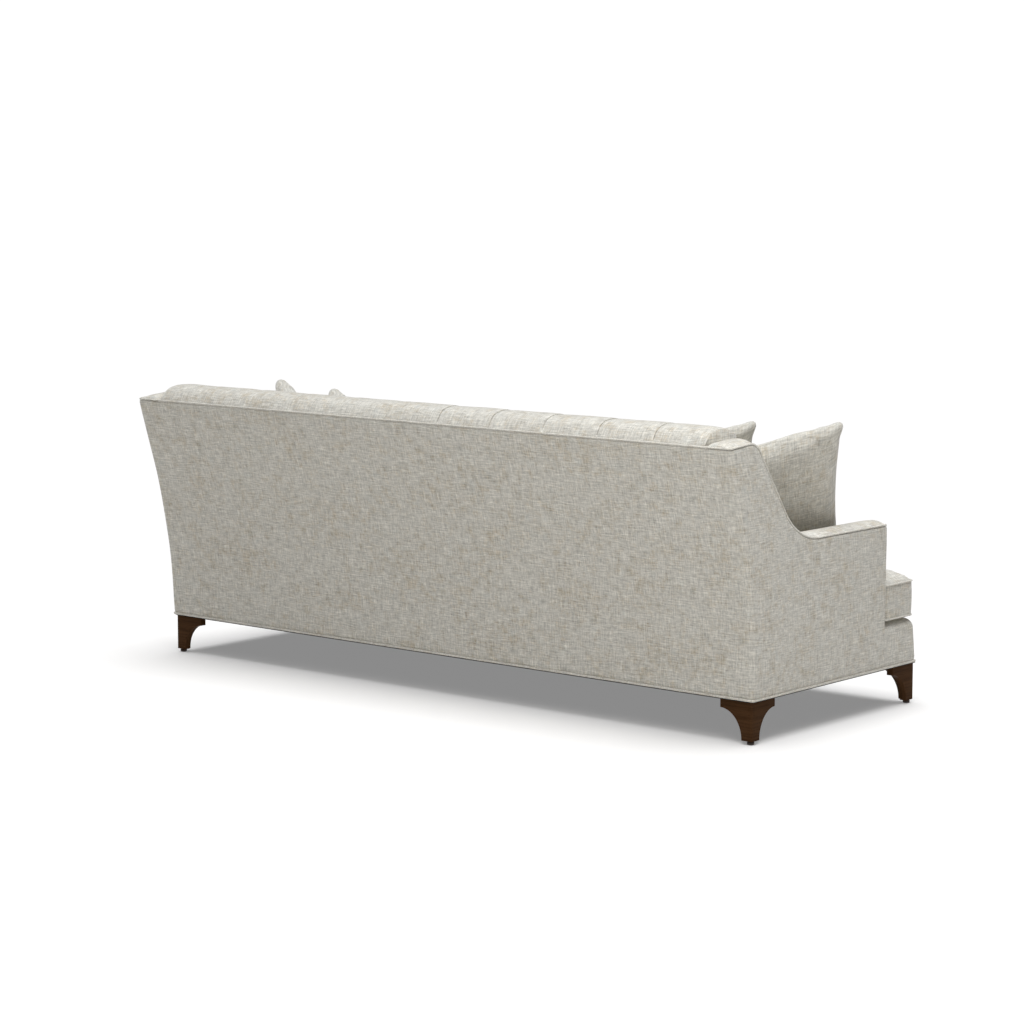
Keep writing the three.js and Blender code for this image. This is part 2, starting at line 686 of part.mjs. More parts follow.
// Box cushion between two sides, with an ear in front of the arm where earOut reaches past them
const cushionFoot = deckHeight + gap;
const weltTopZ = cushionFoot + cushionUnder + cushionBoxing;
const cushionColumnShares = [0, 0.03, 0.1, 0.25, 0.5, 0.75, 0.9, 0.97, 1];
const cushionRowShares = [0, 0.06, 0.2, 0.45, 0.7, 0.9, 0.97, 1];
const earRowShares = [0, 0.15, 0.36, 0.58, 0.79, 1];
const earPullShare = 0.4;
function seatCushion(inner, outer, earOut) {
  const front = seatSetIn - baseDepth;
  const earBack = armFrontY - 2 * cushionFit;
  const back = -seatLineDepth - padFoot - cushionFit;
  const yRows = earRowShares.map(t => lerp(front, earBack, t));
  yRows.push(...cushionRowShares.map(t => lerp(armFrontY - cushionFit, back, t)));
  const outerAt = y => (y <= earBack ? earOut : outer);
  const corners = [
    [inner, front], [earOut, front], [earOut, earBack], [outer, earBack], [outer, back], [inner, back],
  ];
  const pull = sidePull * Math.sign(outer - inner) * (earOut === outer ? 1 : earPullShare);
  const drawn = (x, y) => {
    const across = (x - inner) / (outerAt(y) - inner);
    const down = (y - front) / (back - front);
    return [
      x + pull * Math.sin(Math.PI * down) * (1 - 2 * across),
      y + sidePull * Math.sin(Math.PI * across) * (1 - 2 * down),
    ];
  };
  const grid = height => yRows.map(y => cushionColumnShares.map(t => {
    const x = lerp(inner, outerAt(y), t);
    const depth = edgeDistance(corners, x, y);
    return new THREE.Vector3(...drawn(x, y), height(depth));
  }));
  const upper = grid(d => weltTopZ + cushionCrown * Math.sin(Math.PI / 2 * Math.min(d / crownReach, 1)));
  const lower = grid(d => cushionFoot + cushionUnder * (1 - Math.min(d / cushionUnder / 2, 1)));
  const edge = rim(lower).map(p => [p.x, p.y]);
  const sign = outer > inner ? 1 : -1;
  const bulge = shifted(edge, -sign * cushionBulge, true)
    .map(([x, y]) => new THREE.Vector3(x, y, cushionFoot + cushionUnder + cushionBoxing / 2));
  return filledForm(upper, lower, [bulge]);
}

function addCushions() {
  const third = innerHalf / seatCount;
  const earOut = baseWidth / 2 - weltProud - cushionFit;
  addPair('seat_cushion', seatCushion(third + cushionFit, innerHalf - cushionFit, earOut), fabric);
  add('seat_cushion_middle', seatCushion(cushionFit - third, third - cushionFit, third - cushionFit), fabric);
}

// Knife-edge pillow, flat along its foot and drawn in elsewhere, turned and leaning on the seat
const pillowShares = [-1, -0.9, -0.72, -0.45, -0.15, 0.15, 0.45, 0.72, 0.9, 1];
function throwPillow({ fromArm, fromBack, lean, turn, roll, slump }) {
  const half = pillowSize / 2;
  const side = front => pillowShares.map(v => pillowShares.map(u => {
    const blunt = 1 - pillowCornerShare * Math.abs(u * v) ** pillowCornerPower;
    const x = half * u * blunt * (1 - pillowPullShare * (1 - v * v));
    const drawn = v > 0 ? pillowPullShare * (1 - u * u) : pillowFootShare;
    const level = half * v * blunt * (1 - drawn);
    const z = level - slump * (half - x) * (half + level) / pillowSize ** 2;
    const fill = ((1 - u * u) * (1 - v * v)) ** pillowFillPower;
    return new THREE.Vector3(x, front * lerp(pillowSeam, pillowThickness, fill) / 2, z);
  }));
  const form = filledForm(side(-1), side(1));
  form.rotateY(-degToRad(roll)).rotateX(-degToRad(lean)).rotateZ(-degToRad(turn));
  form.translate(innerHalf - fromArm, -seatLineDepth - fromBack, backHeight);
  return loweredOnto(sofa.getObjectByName('seat_cushion_right'), form);
}

// Lowers a form onto a piece until about the gap stays, then lifts it until their hulls are clear
function loweredOnto(below, form) {
  const above = new THREE.Mesh(form);
  const reach = Math.min(leastReach(form, below, -1), leastReach(below.geometry, above, 1));
  form.translate(0, 0, gap - reach);
  const rest = solid(below.geometry).hull();
  const hull = () => solid(form).hull().translate(0, 0, -gap / 2);
  while (hull().intersect(rest).volume() > 0) form.translate(0, 0, gap / 2);
  return form;
}

// Least distance straight down or up from the points of a form to a piece
function leastReach(form, piece, way) {
  const points = form.getAttribute('position');
  const ray = new THREE.Raycaster();
  let least = Infinity;
  for (let i = 0; i < points.count; i++) {
    ray.set(new THREE.Vector3().fromBufferAttribute(points, i), new THREE.Vector3(0, 0, way));
    for (const hit of ray.intersectObject(piece).slice(0, 1)) least = Math.min(least, hit.distance);
  }
  return least;
}

// Bracket foot: two mitred boards with hollowed ends, round a corner
function bracketLeg() {
  const foot = glideHeight + gap;
  const hollowTop = legTop - legBlockDrop;
  const curve = steps(0, Math.PI / 2, 2 * arcSteps).map(a => [
    legReach - (legReach - footWidth) * Math.sin(a), hollowTop - (hollowTop - foot) * (1 - Math.cos(a)),
  ]);
  const outline = [[0, legTop], [legReach, legTop], ...curve, [0, foot]];
  const wing = alongX(outline, 0, legBoard);
  const swapXY = new THREE.Matrix4().set(0, 1, 0, 0, 1, 0, 0, 0, 0, 0, 1, 0, 0, 0, 0, 1);
  const other = outward(wing.clone().applyMatrix4(swapXY));
  return geometryOf(solid(wing).add(solid(other)));
}

function glide() {
  const radius = glideDiameter / 2;
  const geometry = new THREE.CylinderGeometry(radius, radius, glideHeight, 4 * arcSteps);
  geometry.rotateX(Math.PI / 2).translate(glideSetIn, glideSetIn, glideHeight / 2);
  return welded(geometry);
}

function addFeet() {
  const x = baseWidth / 2 - legSetIn;
  const corners = [['rear', -legSetIn, -1], ['front', frontLegSetIn - baseDepth, 1]];
  for (const [name, y, way] of corners) {
    for (const [piece, make, look] of [['leg', bracketLeg, walnut], ['glide', glide, nylon]]) {
      addPair(`${name}_${piece}`, outward(make().scale(-1, way, 1).translate(x, y, 0)), look);
    }
  }
}

addFrame();
addSeat();
add('outside_back', outsideBack(), fabric);
addPair('outside_arm', outsideArm(), fabric);
addPair('inside_arm', insideArm(), fabric);
addPair('arm_front', armFront(), fabric);
add('inside_back', insideBack(), fabric);
add('front_border', frontBorder(), fabric);
add('bottom_welt', bottomWelt(), fabricTrim);
add('back_welt', backWelt(), fabricTrim);
addPair('arm_welt', armWelt(), fabricTrim);
addCushions();
addPair('outer_pillow', throwPillow(outerPillow), fabric);
addPair('inner_pillow', throwPillow(innerPillow), fabric);
addFeet();

// Centre the whole over its own footprint
const extent = new THREE.Box3().setFromObject(sofa);
sofa.position.y = -(extent.min.y + extent.max.y) / 2;

const object = new THREE.Group();
object.add(sofa);
export default object;
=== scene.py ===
import math

import bmesh
import bpy
import numpy as np
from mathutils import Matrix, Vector
from mathutils.bvhtree import BVHTree
from mathutils.geometry import delaunay_2d_cdt


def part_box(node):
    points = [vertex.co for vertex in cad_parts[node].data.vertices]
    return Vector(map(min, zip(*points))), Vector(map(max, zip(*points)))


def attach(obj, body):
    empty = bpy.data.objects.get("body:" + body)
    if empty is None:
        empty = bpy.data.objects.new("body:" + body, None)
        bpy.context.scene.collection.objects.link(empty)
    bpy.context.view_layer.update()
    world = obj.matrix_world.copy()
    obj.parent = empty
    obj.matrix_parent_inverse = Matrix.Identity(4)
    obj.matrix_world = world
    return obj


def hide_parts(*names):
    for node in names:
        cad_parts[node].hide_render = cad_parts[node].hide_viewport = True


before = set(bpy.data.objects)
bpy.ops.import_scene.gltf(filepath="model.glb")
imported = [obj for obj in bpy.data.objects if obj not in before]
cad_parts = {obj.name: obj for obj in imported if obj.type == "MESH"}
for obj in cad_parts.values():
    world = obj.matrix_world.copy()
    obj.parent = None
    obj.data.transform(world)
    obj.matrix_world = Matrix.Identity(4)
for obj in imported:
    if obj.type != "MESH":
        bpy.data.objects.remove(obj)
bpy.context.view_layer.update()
scene = bpy.context.scene

# Sizes in millimetres, as in the part's source. y = 0 is the rear edge of the base, front -Y.
MM = 0.001
REAR_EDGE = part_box("bottom_welt")[1].y
BASE_WIDTH, BASE_DEPTH, BACK_WIDTH, BACK_HEIGHT = 2448, 878.7, 2469, 886.3
BACK_BEND, BACK_RAKE = 1900, math.radians(16.2)
CORNER_BASE, CORNER_TOP = 17, 12
ARM_HEIGHT, ARM_THICKNESS, ARM_SETBACK = 586.5, 92, 188.7
WING_PEAK, WING_PEAK_BACK, WING_SLOPE = 896.3, 129, math.radians(54.7)
WING_BREAK, ARM_SCOOP = 60, 213
GAP, SKIN, WELT, WELT_PROUD, WELT_CORNER = 0.3, 10, 8.6, 1.5, 8
ARM_CROWN, ARM_ROLL, ARM_CAP, SLAB = 14, 26, 25, 42
BORDER_PAD, BORDER_FRONT, BORDER_LEAN, BORDER_ROUND, BORDER_CORNER = 12, 28.7, 13, 32, 18
BORDER_LIP, BORDER_LIP_DEPTH, DECK_HEIGHT = 25, 91, 275
CREST_HEIGHT, CREST_REACH, CREST_FRONT, CREST_DROP = 933.8, 82, 96, 48
SEAT_LINE, PAD_FOOT = 205, 14
TUFT_PITCH, TUFT_ROW, TUFT_START, TUFT_DEPTH = 209.6, 130, 250, 24
FRAME_DEPTH, TOP_RAIL_DROP = 45, 31
LEG_TOP, LEG_REACH, LEG_BOARD, LEG_DROP, FOOT_WIDTH = 130.4, 115, 23, 29, 38
LEG_SET_IN, FRONT_LEG_SET_IN = 13, 4
GLIDE_HEIGHT, GLIDE_PLACE = 11, 14
SEAT_FRONT, BOXING, CUSHION_UNDER, CUSHION_CROWN, CUSHION_FIT = 856, 107, 9, 39, 3
PILLOW, PILLOW_THICK, PILLOW_PULL, PILLOW_FOOT, PILLOW_FILL = 508, 155, 0.075, 0.027, 0.3
PILLOW_EAR, EAR_REACH, EAR_END, EAR_ROUND, EAR_HELD, PILLOW_SHOULDER = 18, 0.14, 27, 15, 0.3, 10
CREASE_ROUNDS, REST_CLEARANCE = 14, 0.8

WELT_RADIUS = WELT / 2
CORD, BASE_CORD = 3.3, 3.9
# Radius and set-in of the thin dark cord just inside the bottom welt, a line of painted shade
SHADE_CORD_RADIUS, SHADE_CORD_SET_IN = 1.2, 5.5
CUSHION_CORD = 2.9
RAIL_TOP = 229.0
TUCK, TUCK_REACH = 2.2, 4.5
PANEL_BOTTOM = LEG_TOP + 2 * GAP + WELT
PANEL_TOP = BACK_HEIGHT - WELT - GAP
ARM_FRONT = ARM_SETBACK - BASE_DEPTH
HALF_BASE = BASE_WIDTH / 2 - WELT_PROUD
INNER_HALF = BASE_WIDTH / 2 - ARM_THICKNESS


# Camera at the photograph's view
camera_data = bpy.data.cameras.new("camera")
camera = bpy.data.objects.new("camera", camera_data)
scene.collection.objects.link(camera)
camera_data.lens, camera_data.sensor_width = 102.94, 36
camera.location = (-6.08846, 7.192604, 1.77734)
camera.rotation_mode = "QUATERNION"
camera.rotation_quaternion = Vector((0.64119523, -0.75643373, -0.12913828)).to_track_quat("-Z", "Y")
camera_data.clip_end = 100
scene.camera = camera


# Small tools for shapes
def unit(v):
    return v / np.linalg.norm(v, axis=-1, keepdims=True)


def lerp(a, b, t):
    return a + (b - a) * t


def smoothstep(x, low, high):
    t = np.clip((x - low) / (high - low), 0, 1)
    return t * t * (3 - 2 * t)


def rounded(points, radii, steps=14):
    """An open or closed path of 2-D points with its inner corners rounded."""
    points = [np.array(p, float) for p in points]
    path = [points[0]]
    for before, corner, after, radius in zip(points, points[1:], points[2:], radii):
        b, a = unit(before - corner), unit(after - corner)
        half = math.acos(np.clip(b @ a, -1, 1)) / 2
        centre = corner + unit(a + b) * radius / math.sin(half)
        start, end = corner + b * radius / math.tan(half) - centre, corner + a * radius / math.tan(half) - centre
        turn = math.atan2(start[0] * end[1] - start[1] * end[0], start @ end)
        for angle in np.linspace(0, turn, steps + 1):
            c, s = math.cos(angle), math.sin(angle)
            path.append(centre + (c * start[0] - s * start[1], s * start[0] + c * start[1]))
    path.append(points[-1])
    return np.array(path)


def closed_rounded(points, radii, steps=8):
    """A closed outline of 2-D points with every corner rounded."""
    middle = (np.array(points[0], float) + points[-1]) / 2
    path = rounded([middle, *points, middle], radii, steps)
    return path[:-1]


def quarter(count):
    """Angles of a quarter turn, both ends among them."""
    return np.linspace(0, math.pi / 2, count)


def circle(count):
    return np.linspace(0, 2 * math.pi, count, endpoint=False)


def at_height(path, z):
    """A path in plan raised to one height."""
    return np.column_stack([path, np.full(len(path), z)])


def lengths(path):
    return np.concatenate([[0], np.cumsum(np.linalg.norm(np.diff(path, axis=0), axis=1))])


def resample(path, spacing, closed=False):
    """The same path at equal steps of about the spacing."""
    path = np.vstack([path, path[:1]]) if closed else path
    at = lengths(path)
    places = np.linspace(0, at[-1], max(int(round(at[-1] / spacing)), 2) + 1)
    even = np.stack([np.interp(places, at, path[:, k]) for k in range(path.shape[1])], 1)
    return even[:-1] if closed else even


def normals_2d(path, closed=False):
    """Unit normals to the left of a 2-D path."""
    if closed:
        step = np.roll(path, -1, 0) - np.roll(path, 1, 0)
    else:
        step = np.gradient(path, axis=0)
    return unit(np.stack([-step[:, 1], step[:, 0]], 1))


def catmull(points, count):
    """A smooth curve through 2-D points, at equal steps."""
    p = np.vstack([points[0], points, points[-1]]).astype(float)
    curve = []
    for k in range(1, len(p) - 2):
        t = np.linspace(0, 1, 40, endpoint=False)[:, None]
        v0, v1 = (p[k + 1] - p[k - 1]) / 2, (p[k + 2] - p[k]) / 2
        curve.append((2 * p[k] - 2 * p[k + 1] + v0 + v1) * t**3
                     + (3 * p[k + 1] - 3 * p[k] - 2 * v0 - v1) * t**2 + v0 * t + p[k])
    curve = np.vstack([*curve, p[-1:]])
    at = lengths(curve)
    places = np.linspace(0, at[-1], count) if np.isscalar(count) else np.asarray(count) * at[-1]
    return np.stack([np.interp(places, at, curve[:, k]) for k in range(2)], 1), at[-1]


def waves(a, b, size):
    """Slow uneven swells of a stretched cover, from -1 to 1, over two lengths in millimetres."""
    a, b = a / size, b / size
    return (np.sin(1.7 * a + 0.9 * b + 1.1) + np.sin(-1.1 * a + 2.3 * b + 4.2) + np.sin(2.9 * a - 1.3 * b + 2.6)) / 3


def ramped(first, total, fine):
    """Places from 0 to total, closer together near both ends."""
    ends = np.array(first, float)
    middle = np.linspace(ends[-1], total - ends[-1], fine)[1:-1]
    return np.concatenate([ends, middle, total - ends[::-1]])


# Patches: points, faces and the cloth coordinates (millimetres of cloth) of each face's corners
def patch(points, cloth, wrap=False):
    rows, cols = points.shape[:2]
    i, j = np.meshgrid(np.arange(rows - 1), np.arange(cols if wrap else cols - 1), indexing="ij")
    k = (j + 1) % cols
    faces = np.stack([i * cols + j, i * cols + k, (i + 1) * cols + k, (i + 1) * cols + j], -1).reshape(-1, 4)
    corners = np.stack([cloth[i, j], cloth[i, j + 1], cloth[i + 1, j + 1], cloth[i + 1, j]], -2).reshape(-1, 4, 2)
    return points.reshape(-1, 3), faces, corners


def even_cloth(points, wrap=False):
    """Cloth coordinates along a grid's own rows and columns, by mean length."""
    ring = np.concatenate([points, points[:, :1]], 1) if wrap else points
    u = np.concatenate([[0], np.cumsum(np.linalg.norm(np.diff(ring, axis=1), axis=2).mean(0))])
    v = np.concatenate([[0], np.cumsum(np.linalg.norm(np.diff(ring, axis=0), axis=2).mean(1))])
    return np.stack(np.meshgrid(u, v), -1)


def grid_cloth(down, around):
    """Cloth coordinates from the places of a grid's rows and columns."""
    return np.stack(np.meshgrid(down, around, indexing="ij"), -1)


def cap(ring):
    """One flat face over a ring of points."""
    normal = np.abs(np.cross(ring, np.roll(ring, -1, 0)).sum(0))
    axes = [[1, 2], [0, 2], [0, 1]][int(normal.argmax())]
    return ring, np.arange(len(ring))[None], ring[None][:, :, axes]


def loft(rings, cloth=None):
    """A closed body through rings of points, capped at both ends."""
    rings = np.asarray(rings, float)
    return [patch(rings, even_cloth(rings, True) if cloth is None else cloth, True), cap(rings[0]), cap(rings[-1])]


def mirrored(parts):
    return [(points * (-1, 1, 1), faces, corners) for points, faces, corners in parts]


SIDES = (("right", lambda parts: parts), ("left", mirrored))


def placed(points):
    return np.asarray(points, float) * MM + (0, REAR_EDGE, 0)


def mesh_of(name, parts, weld=0.04, crease=40):
    """A mesh from patches, joined where they meet, with its faces turned outwards."""
    build = bmesh.new()
    layer = build.loops.layers.uv.new("cloth")
    for points, faces, corners in parts:
        made = [build.verts.new(p) for p in placed(points)]
        for face, cloth in zip(faces, corners):
            new = build.faces.new([made[i] for i in face])
            for loop, uv in zip(new.loops, cloth):
                loop[layer].uv = uv * MM
    bmesh.ops.remove_doubles(build, verts=build.verts, dist=weld * MM)
    bmesh.ops.recalc_face_normals(build, faces=build.faces)
    open_edges = sum(len(e.link_faces) != 2 for e in build.edges)
    if open_edges:
        print("open edges", name, open_edges)
    mesh = bpy.data.meshes.new(name)
    build.to_mesh(mesh)
    build.free()
    mesh.shade_smooth()
    mesh.set_sharp_from_angle(angle=math.radians(crease))
    return mesh


def linked(name, data):
    """A new object in the scene."""
    made = bpy.data.objects.new(name, data)
    scene.collection.objects.link(made)
    return made


def show(name, mesh, look, slot, body="sofa_body", replaces=()):
    """A finished piece that rides on a body."""
    piece = linked(name, mesh)
    mesh.materials.append(look)
    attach(piece, body)
    if replaces:
        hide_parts(*replaces)
    return piece


def tube(path, radius, sides=14, closed=False, squash=1.0):
    """A round section along a smooth path of 3-D points."""
    path = np.asarray(path, float)
    step = np.roll(path, -1, 0) - np.roll(path, 1, 0) if closed else np.gradient(path, axis=0)
    tangent = unit(step)
    side = np.cross(tangent, [0, 0, 1.0])
    flat = np.linalg.norm(side, axis=1) < 0.2
    side[flat] = [1, 0, 0]
    for k in range(1, len(side)):
        if side[k] @ side[k - 1] < 0:
            side[k] = -side[k]
    side = unit(side - (side * tangent).sum(1, keepdims=True) * tangent)
    up = np.cross(side, tangent)
    turn = circle(sides)
    rings = (path[:, None] + radius * np.cos(turn)[None, :, None] * side[:, None]
             + radius * squash * np.sin(turn)[None, :, None] * up[:, None])
    if closed:
        rings = np.concatenate([rings, rings[:1]])
        return [patch(rings, even_cloth(rings, True), True)]
    return loft(rings)


# Form of the body
def half_width(z):
    """Half the outside width at a height: the body widens from the base to the top of the back."""
    return lerp(BASE_WIDTH, BACK_WIDTH, (z - LEG_TOP) / (BACK_HEIGHT - LEG_TOP)) / 2 - WELT_PROUD


def back_face(z):
    """Place of the outside back at a height: curved over its foot, then straight and raked."""
    bend = BACK_BEND * math.sin(BACK_RAKE)
    rise = np.clip(z - PANEL_BOTTOM, 0, bend)
    straight = np.maximum(z - PANEL_BOTTOM - bend, 0)
    return BACK_BEND - np.sqrt(BACK_BEND**2 - rise**2) + straight * math.tan(BACK_RAKE) - WELT_PROUD


def corner_at(z):
    return lerp(CORNER_BASE, CORNER_TOP, (z - LEG_TOP) / (BACK_HEIGHT - LEG_TOP))


BACK_TOP = float(back_face(PANEL_TOP))
PEAK = BACK_TOP - WING_PEAK_BACK
SLOPE_FOOT = PEAK - (WING_PEAK - ARM_HEIGHT) / math.tan(WING_SLOPE)
WING_LINE = rounded([[BACK_TOP, BACK_HEIGHT], [PEAK, WING_PEAK], [SLOPE_FOOT, ARM_HEIGHT], [ARM_FRONT, ARM_HEIGHT]],
                    [WING_BREAK, ARM_SCOOP], 24)


def below_wing(distance, spacing=9):
    """The wing and arm line moved inwards, as [y, z] points from the back to the front."""
    line = resample(WING_LINE, spacing)
    return line + normals_2d(line) * distance


# Materials
def node(tree, kind, inputs=None, **settings):
    made = tree.nodes.new(kind)
    for key, value in settings.items():
        setattr(made, key, value)
    for key, value in (inputs or {}).items():
        if isinstance(value, bpy.types.NodeSocket):
            tree.links.new(value, made.inputs[key])
        else:
            made.inputs[key].default_value = value
    return made


class Look:
    """A node material under construction."""

    def __init__(self, name, **shader):
        self.material = bpy.data.materials.new(name)
        self.material.use_nodes = True
        self.tree = self.material.node_tree
        self.shader = self.tree.nodes["Principled BSDF"]
        for key, value in shader.items():
            self.shader.inputs[key.replace("_", " ")].default_value = value
        self.cloth = node(self.tree, "ShaderNodeUVMap", uv_map="cloth").outputs[0]

    def at(self, scale, vector=None, offset=(0, 0, 0)):
        inputs = {"Vector": vector or self.cloth, "Scale": scale, "Location": offset}
        return node(self.tree, "ShaderNodeMapping", inputs).outputs[0]

    def noise(self, scale, detail=2.0, roughness=0.5, vector=None, offset=(0, 0, 0), spread=0.0):
        return node(self.tree, "ShaderNodeTexNoise", {
            "Vector": self.at(scale, vector, offset), "Scale": 1.0, "Detail": detail, "Roughness": roughness,
            "Distortion": spread}).outputs[0]

    def math(self, operation, a, b=0.0, c=0.0):
        return node(self.tree, "ShaderNodeMath", {0: a, 1: b, 2: c}, operation=operation).outputs[0]

    def shift(self, operation, a, b):
        return node(self.tree, "ShaderNodeVectorMath", {0: a, 1: b}, operation=operation).outputs[0]

    def shaded(self, colour, value):
        """The colour times a grey value."""
        grey = node(self.tree, "ShaderNodeCombineColor", {0: value, 1: value, 2: value}).outputs[0]
        return self.mix(1.0, colour, grey, "MULTIPLY")

    def span(self, value, low, high, to_low=0.0, to_high=1.0, smooth=True):
        return node(self.tree, "ShaderNodeMapRange", {0: value, 1: low, 2: high, 3: to_low, 4: to_high},
                    interpolation_type="SMOOTHSTEP" if smooth else "LINEAR", clamp=True).outputs[0]

    def mix(self, share, a, b, blend="MIX"):
        made = node(self.tree, "ShaderNodeMix", data_type="RGBA", blend_type=blend)
        for key, value in ((0, share), (6, a), (7, b)):
            if isinstance(value, bpy.types.NodeSocket):
                self.tree.links.new(value, made.inputs[key])
            else:
                made.inputs[key].default_value = value if key == 0 else (*value, 1.0)
        return made.outputs[2]

    def bump(self, height, strength, distance):
        inputs = {"Height": height, "Strength": strength, "Distance": distance}
        return node(self.tree, "ShaderNodeBump", inputs).outputs[0]

    def done(self, colour=None, roughness=None, normal=None):
        for key, value in (("Base Color", colour), ("Roughness", roughness), ("Normal", normal)):
            if value is not None:
                self.tree.links.new(value, self.shader.inputs[key])
        return self.material


THREAD_PITCH = 0.0016


def heather(name, base, warm=0.5, contrast=1.0):
    """Slubby plain-weave cloth: crossed uneven threads, cloudy tan patches and dark flecks."""
    look = Look(name, Roughness=0.92, Specular_IOR_Level=0.25, Sheen_Weight=0.3, Sheen_Roughness=0.45)
    base = np.array(base)
    drift = look.noise((14, 14, 14), 1.0)
    threads = look.shift("ADD", look.cloth, look.shift("MULTIPLY", drift, (0.004, 0.004, 0)))

    def spun(across, along, offset, detail=1.0, roughness=0.5):
        """Noise stretched along the threads, its counts per metre of cloth."""
        return look.noise((across, along, 1), detail, roughness, threads, (*offset, 0))

    weft, warp = spun(24, 240, (0, 0), 2.0, 0.6), spun(240, 24, (7, 3), 2.0, 0.6)
    fine_weft, fine_warp = spun(80, 620, (1, 9)), spun(620, 80, (5, 2))
    tan_weft, tan_warp = spun(30, 270, (4, 21)), spun(270, 30, (19, 5))
    slub_weft, slub_warp = spun(16, 330, (31, 12), 0.0), spun(330, 16, (13, 27), 0.0)
    cloud, drift_cloud = spun(30, 30, (3, 8), 3.0, 0.6), spun(6.5, 6.5, (11, 4), 2.0)
    cool, fleck = spun(22, 22, (17, 14), 2.0, 0.6), spun(260, 200, (2, 6))

    patches = look.math("MULTIPLY_ADD", drift_cloud, 0.5, cloud)
    patches = look.math("MULTIPLY_ADD", look.math("ADD", tan_weft, tan_warp), 0.55, patches)
    patches = look.span(patches, 1.24, 1.62)
    colour = look.mix(look.math("MULTIPLY", patches, warm), tuple(base), tuple(base * (0.78, 0.68, 0.54)))
    colour = look.mix(look.span(cool, 0.55, 0.75, 0.0, 0.4), colour, tuple(base * (0.97, 1.02, 1.06)))
    streaks = look.math("ADD", look.span(weft, 0.25, 0.75, -0.25 * contrast, 0.25 * contrast, False),
                        look.span(warp, 0.25, 0.75, -0.22 * contrast, 0.22 * contrast, False))
    slubs = look.math("ADD", look.span(slub_weft, 0.60, 0.72, 0.0, 0.13 * contrast),
                      look.span(slub_warp, 0.60, 0.72, 0.0, 0.11 * contrast))
    streaks = look.math("ADD", streaks, slubs)
    grain = look.math("ADD", look.span(fine_weft, 0.25, 0.75, -0.14, 0.14, False),
                      look.span(fine_warp, 0.25, 0.75, -0.14, 0.14, False))
    colour = look.shaded(colour, look.math("ADD", look.math("ADD", streaks, grain), 0.99))
    flecks = look.math("MULTIPLY", look.span(fleck, 0.66, 0.78), look.span(patches, 0.05, 0.6, 0.1, 0.8))
    colour = look.mix(flecks, colour, tuple(base * (0.46, 0.38, 0.27)))

    split = node(look.tree, "ShaderNodeSeparateXYZ", {0: threads})
    across = look.math("MULTIPLY", split.outputs[0], 1 / THREAD_PITCH)
    along = look.math("MULTIPLY", split.outputs[1], 1 / THREAD_PITCH)
    ridge_across = look.math("ABSOLUTE", look.math("SINE", look.math("MULTIPLY", across, math.pi)))
    ridge_along = look.math("ABSOLUTE", look.math("SINE", look.math("MULTIPLY", along, math.pi)))
    over = look.math("ADD", look.math("FLOOR", across), look.math("FLOOR", along))
    over = look.math("ABSOLUTE", look.math("MODULO", over, 2.0))
    weave = look.math("ADD", look.math("MULTIPLY", ridge_across, over),
                      look.math("MULTIPLY", ridge_along, look.math("SUBTRACT", 1.0, over)))
    normal = look.bump(look.math("ADD", weave, look.math("MULTIPLY", streaks, 2.0)), 0.3, 0.0005)
    # The weave's low places are darkened to 0.86 and its thread tops lightened to 1.04: painted shade between the
    # threads and painted highlight on them
    colour = look.shaded(colour, look.span(weave, 0.0, 0.9, 0.86, 1.04, False))
    return look.done(colour, None, normal)


def wood(name, dark, light, scale=1.0):
    """Oiled wood: bending grain and short dark pores along the cloth coordinates' first direction."""
    look = Look(name, Specular_IOR_Level=0.015)
    bend = look.noise((5 * scale, 16 * scale, 5), 2.0)
    grain = look.noise((9 * scale, 170 * scale, 9), 4.0, 0.62, None, (3, 1, 0), 0.4)
    pores = look.noise((60 * scale, 900 * scale, 9), 1.0, 0.5, None, (8, 5, 0))
    mixed = look.math("MULTIPLY_ADD", bend, 0.45, grain)
    colour = look.mix(look.span(mixed, 0.45, 0.95), dark, light)
    colour = look.mix(look.span(pores, 0.62, 0.75, 0.0, 0.55), colour, tuple(np.array(dark) * 0.45))
    rough = look.span(grain, 0.3, 0.7, 0.36, 0.5, False)
    return look.done(colour, rough, look.bump(look.math("SUBTRACT", grain, pores), 0.12, 0.0004))


def plain(name, base, low, high, scale, strength, **shader):
    """A surface with a fine mottled tone and texture."""
    look = Look(name, **shader)
    tone = look.noise((scale, scale, scale), 3.0, 0.6)
    colour = look.mix(look.span(tone, 0.3, 0.7), tuple(np.array(base) * low), tuple(np.array(base) * high))
    return look.done(colour, look.span(tone, 0.3, 0.7, shader["Roughness"] * 0.85, shader["Roughness"]),
                     look.bump(tone, strength, 0.0004))


CLOTH = (0.525, 0.506, 0.452)
upholstery = heather("upholstery_heather", CLOTH, 0.62)
# The welts' cloth is the cover's cloth made 6% lighter: a painted highlight for the light that the round cords catch
trim = heather("welt_heather_painted_highlight", tuple(1.06 * np.array(CLOTH)), 0.45, 0.8)
cushion_cloth = heather("cushion_heather", CLOTH, 0.6)
pillow_cloth = heather("pillow_heather", CLOTH, 0.62)
walnut = wood("walnut_stain", (0.040, 0.0178, 0.0070), (0.072, 0.035, 0.0155))
hardwood = wood("frame_hardwood", (0.42, 0.27, 0.14), (0.62, 0.45, 0.27), 0.6)
matt = {"Roughness": 0.95, "Specular_IOR_Level": 0.2}
deck_cloth = plain("deck_cloth", (0.46, 0.44, 0.40), 0.86, 1.06, 420, 0.25, **matt)
dust_cloth = plain("dust_cloth_black", (0.022, 0.022, 0.024), 0.6, 1.5, 600, 0.4, **matt)
spring_wire = plain("spring_wire", (0.36, 0.37, 0.38), 0.75, 1.1, 300, 0.05, Roughness=0.42, Metallic=1.0)
nylon = plain("glide_nylon", (0.055, 0.036, 0.027), 0.8, 1.15, 500, 0.06, Roughness=0.5)


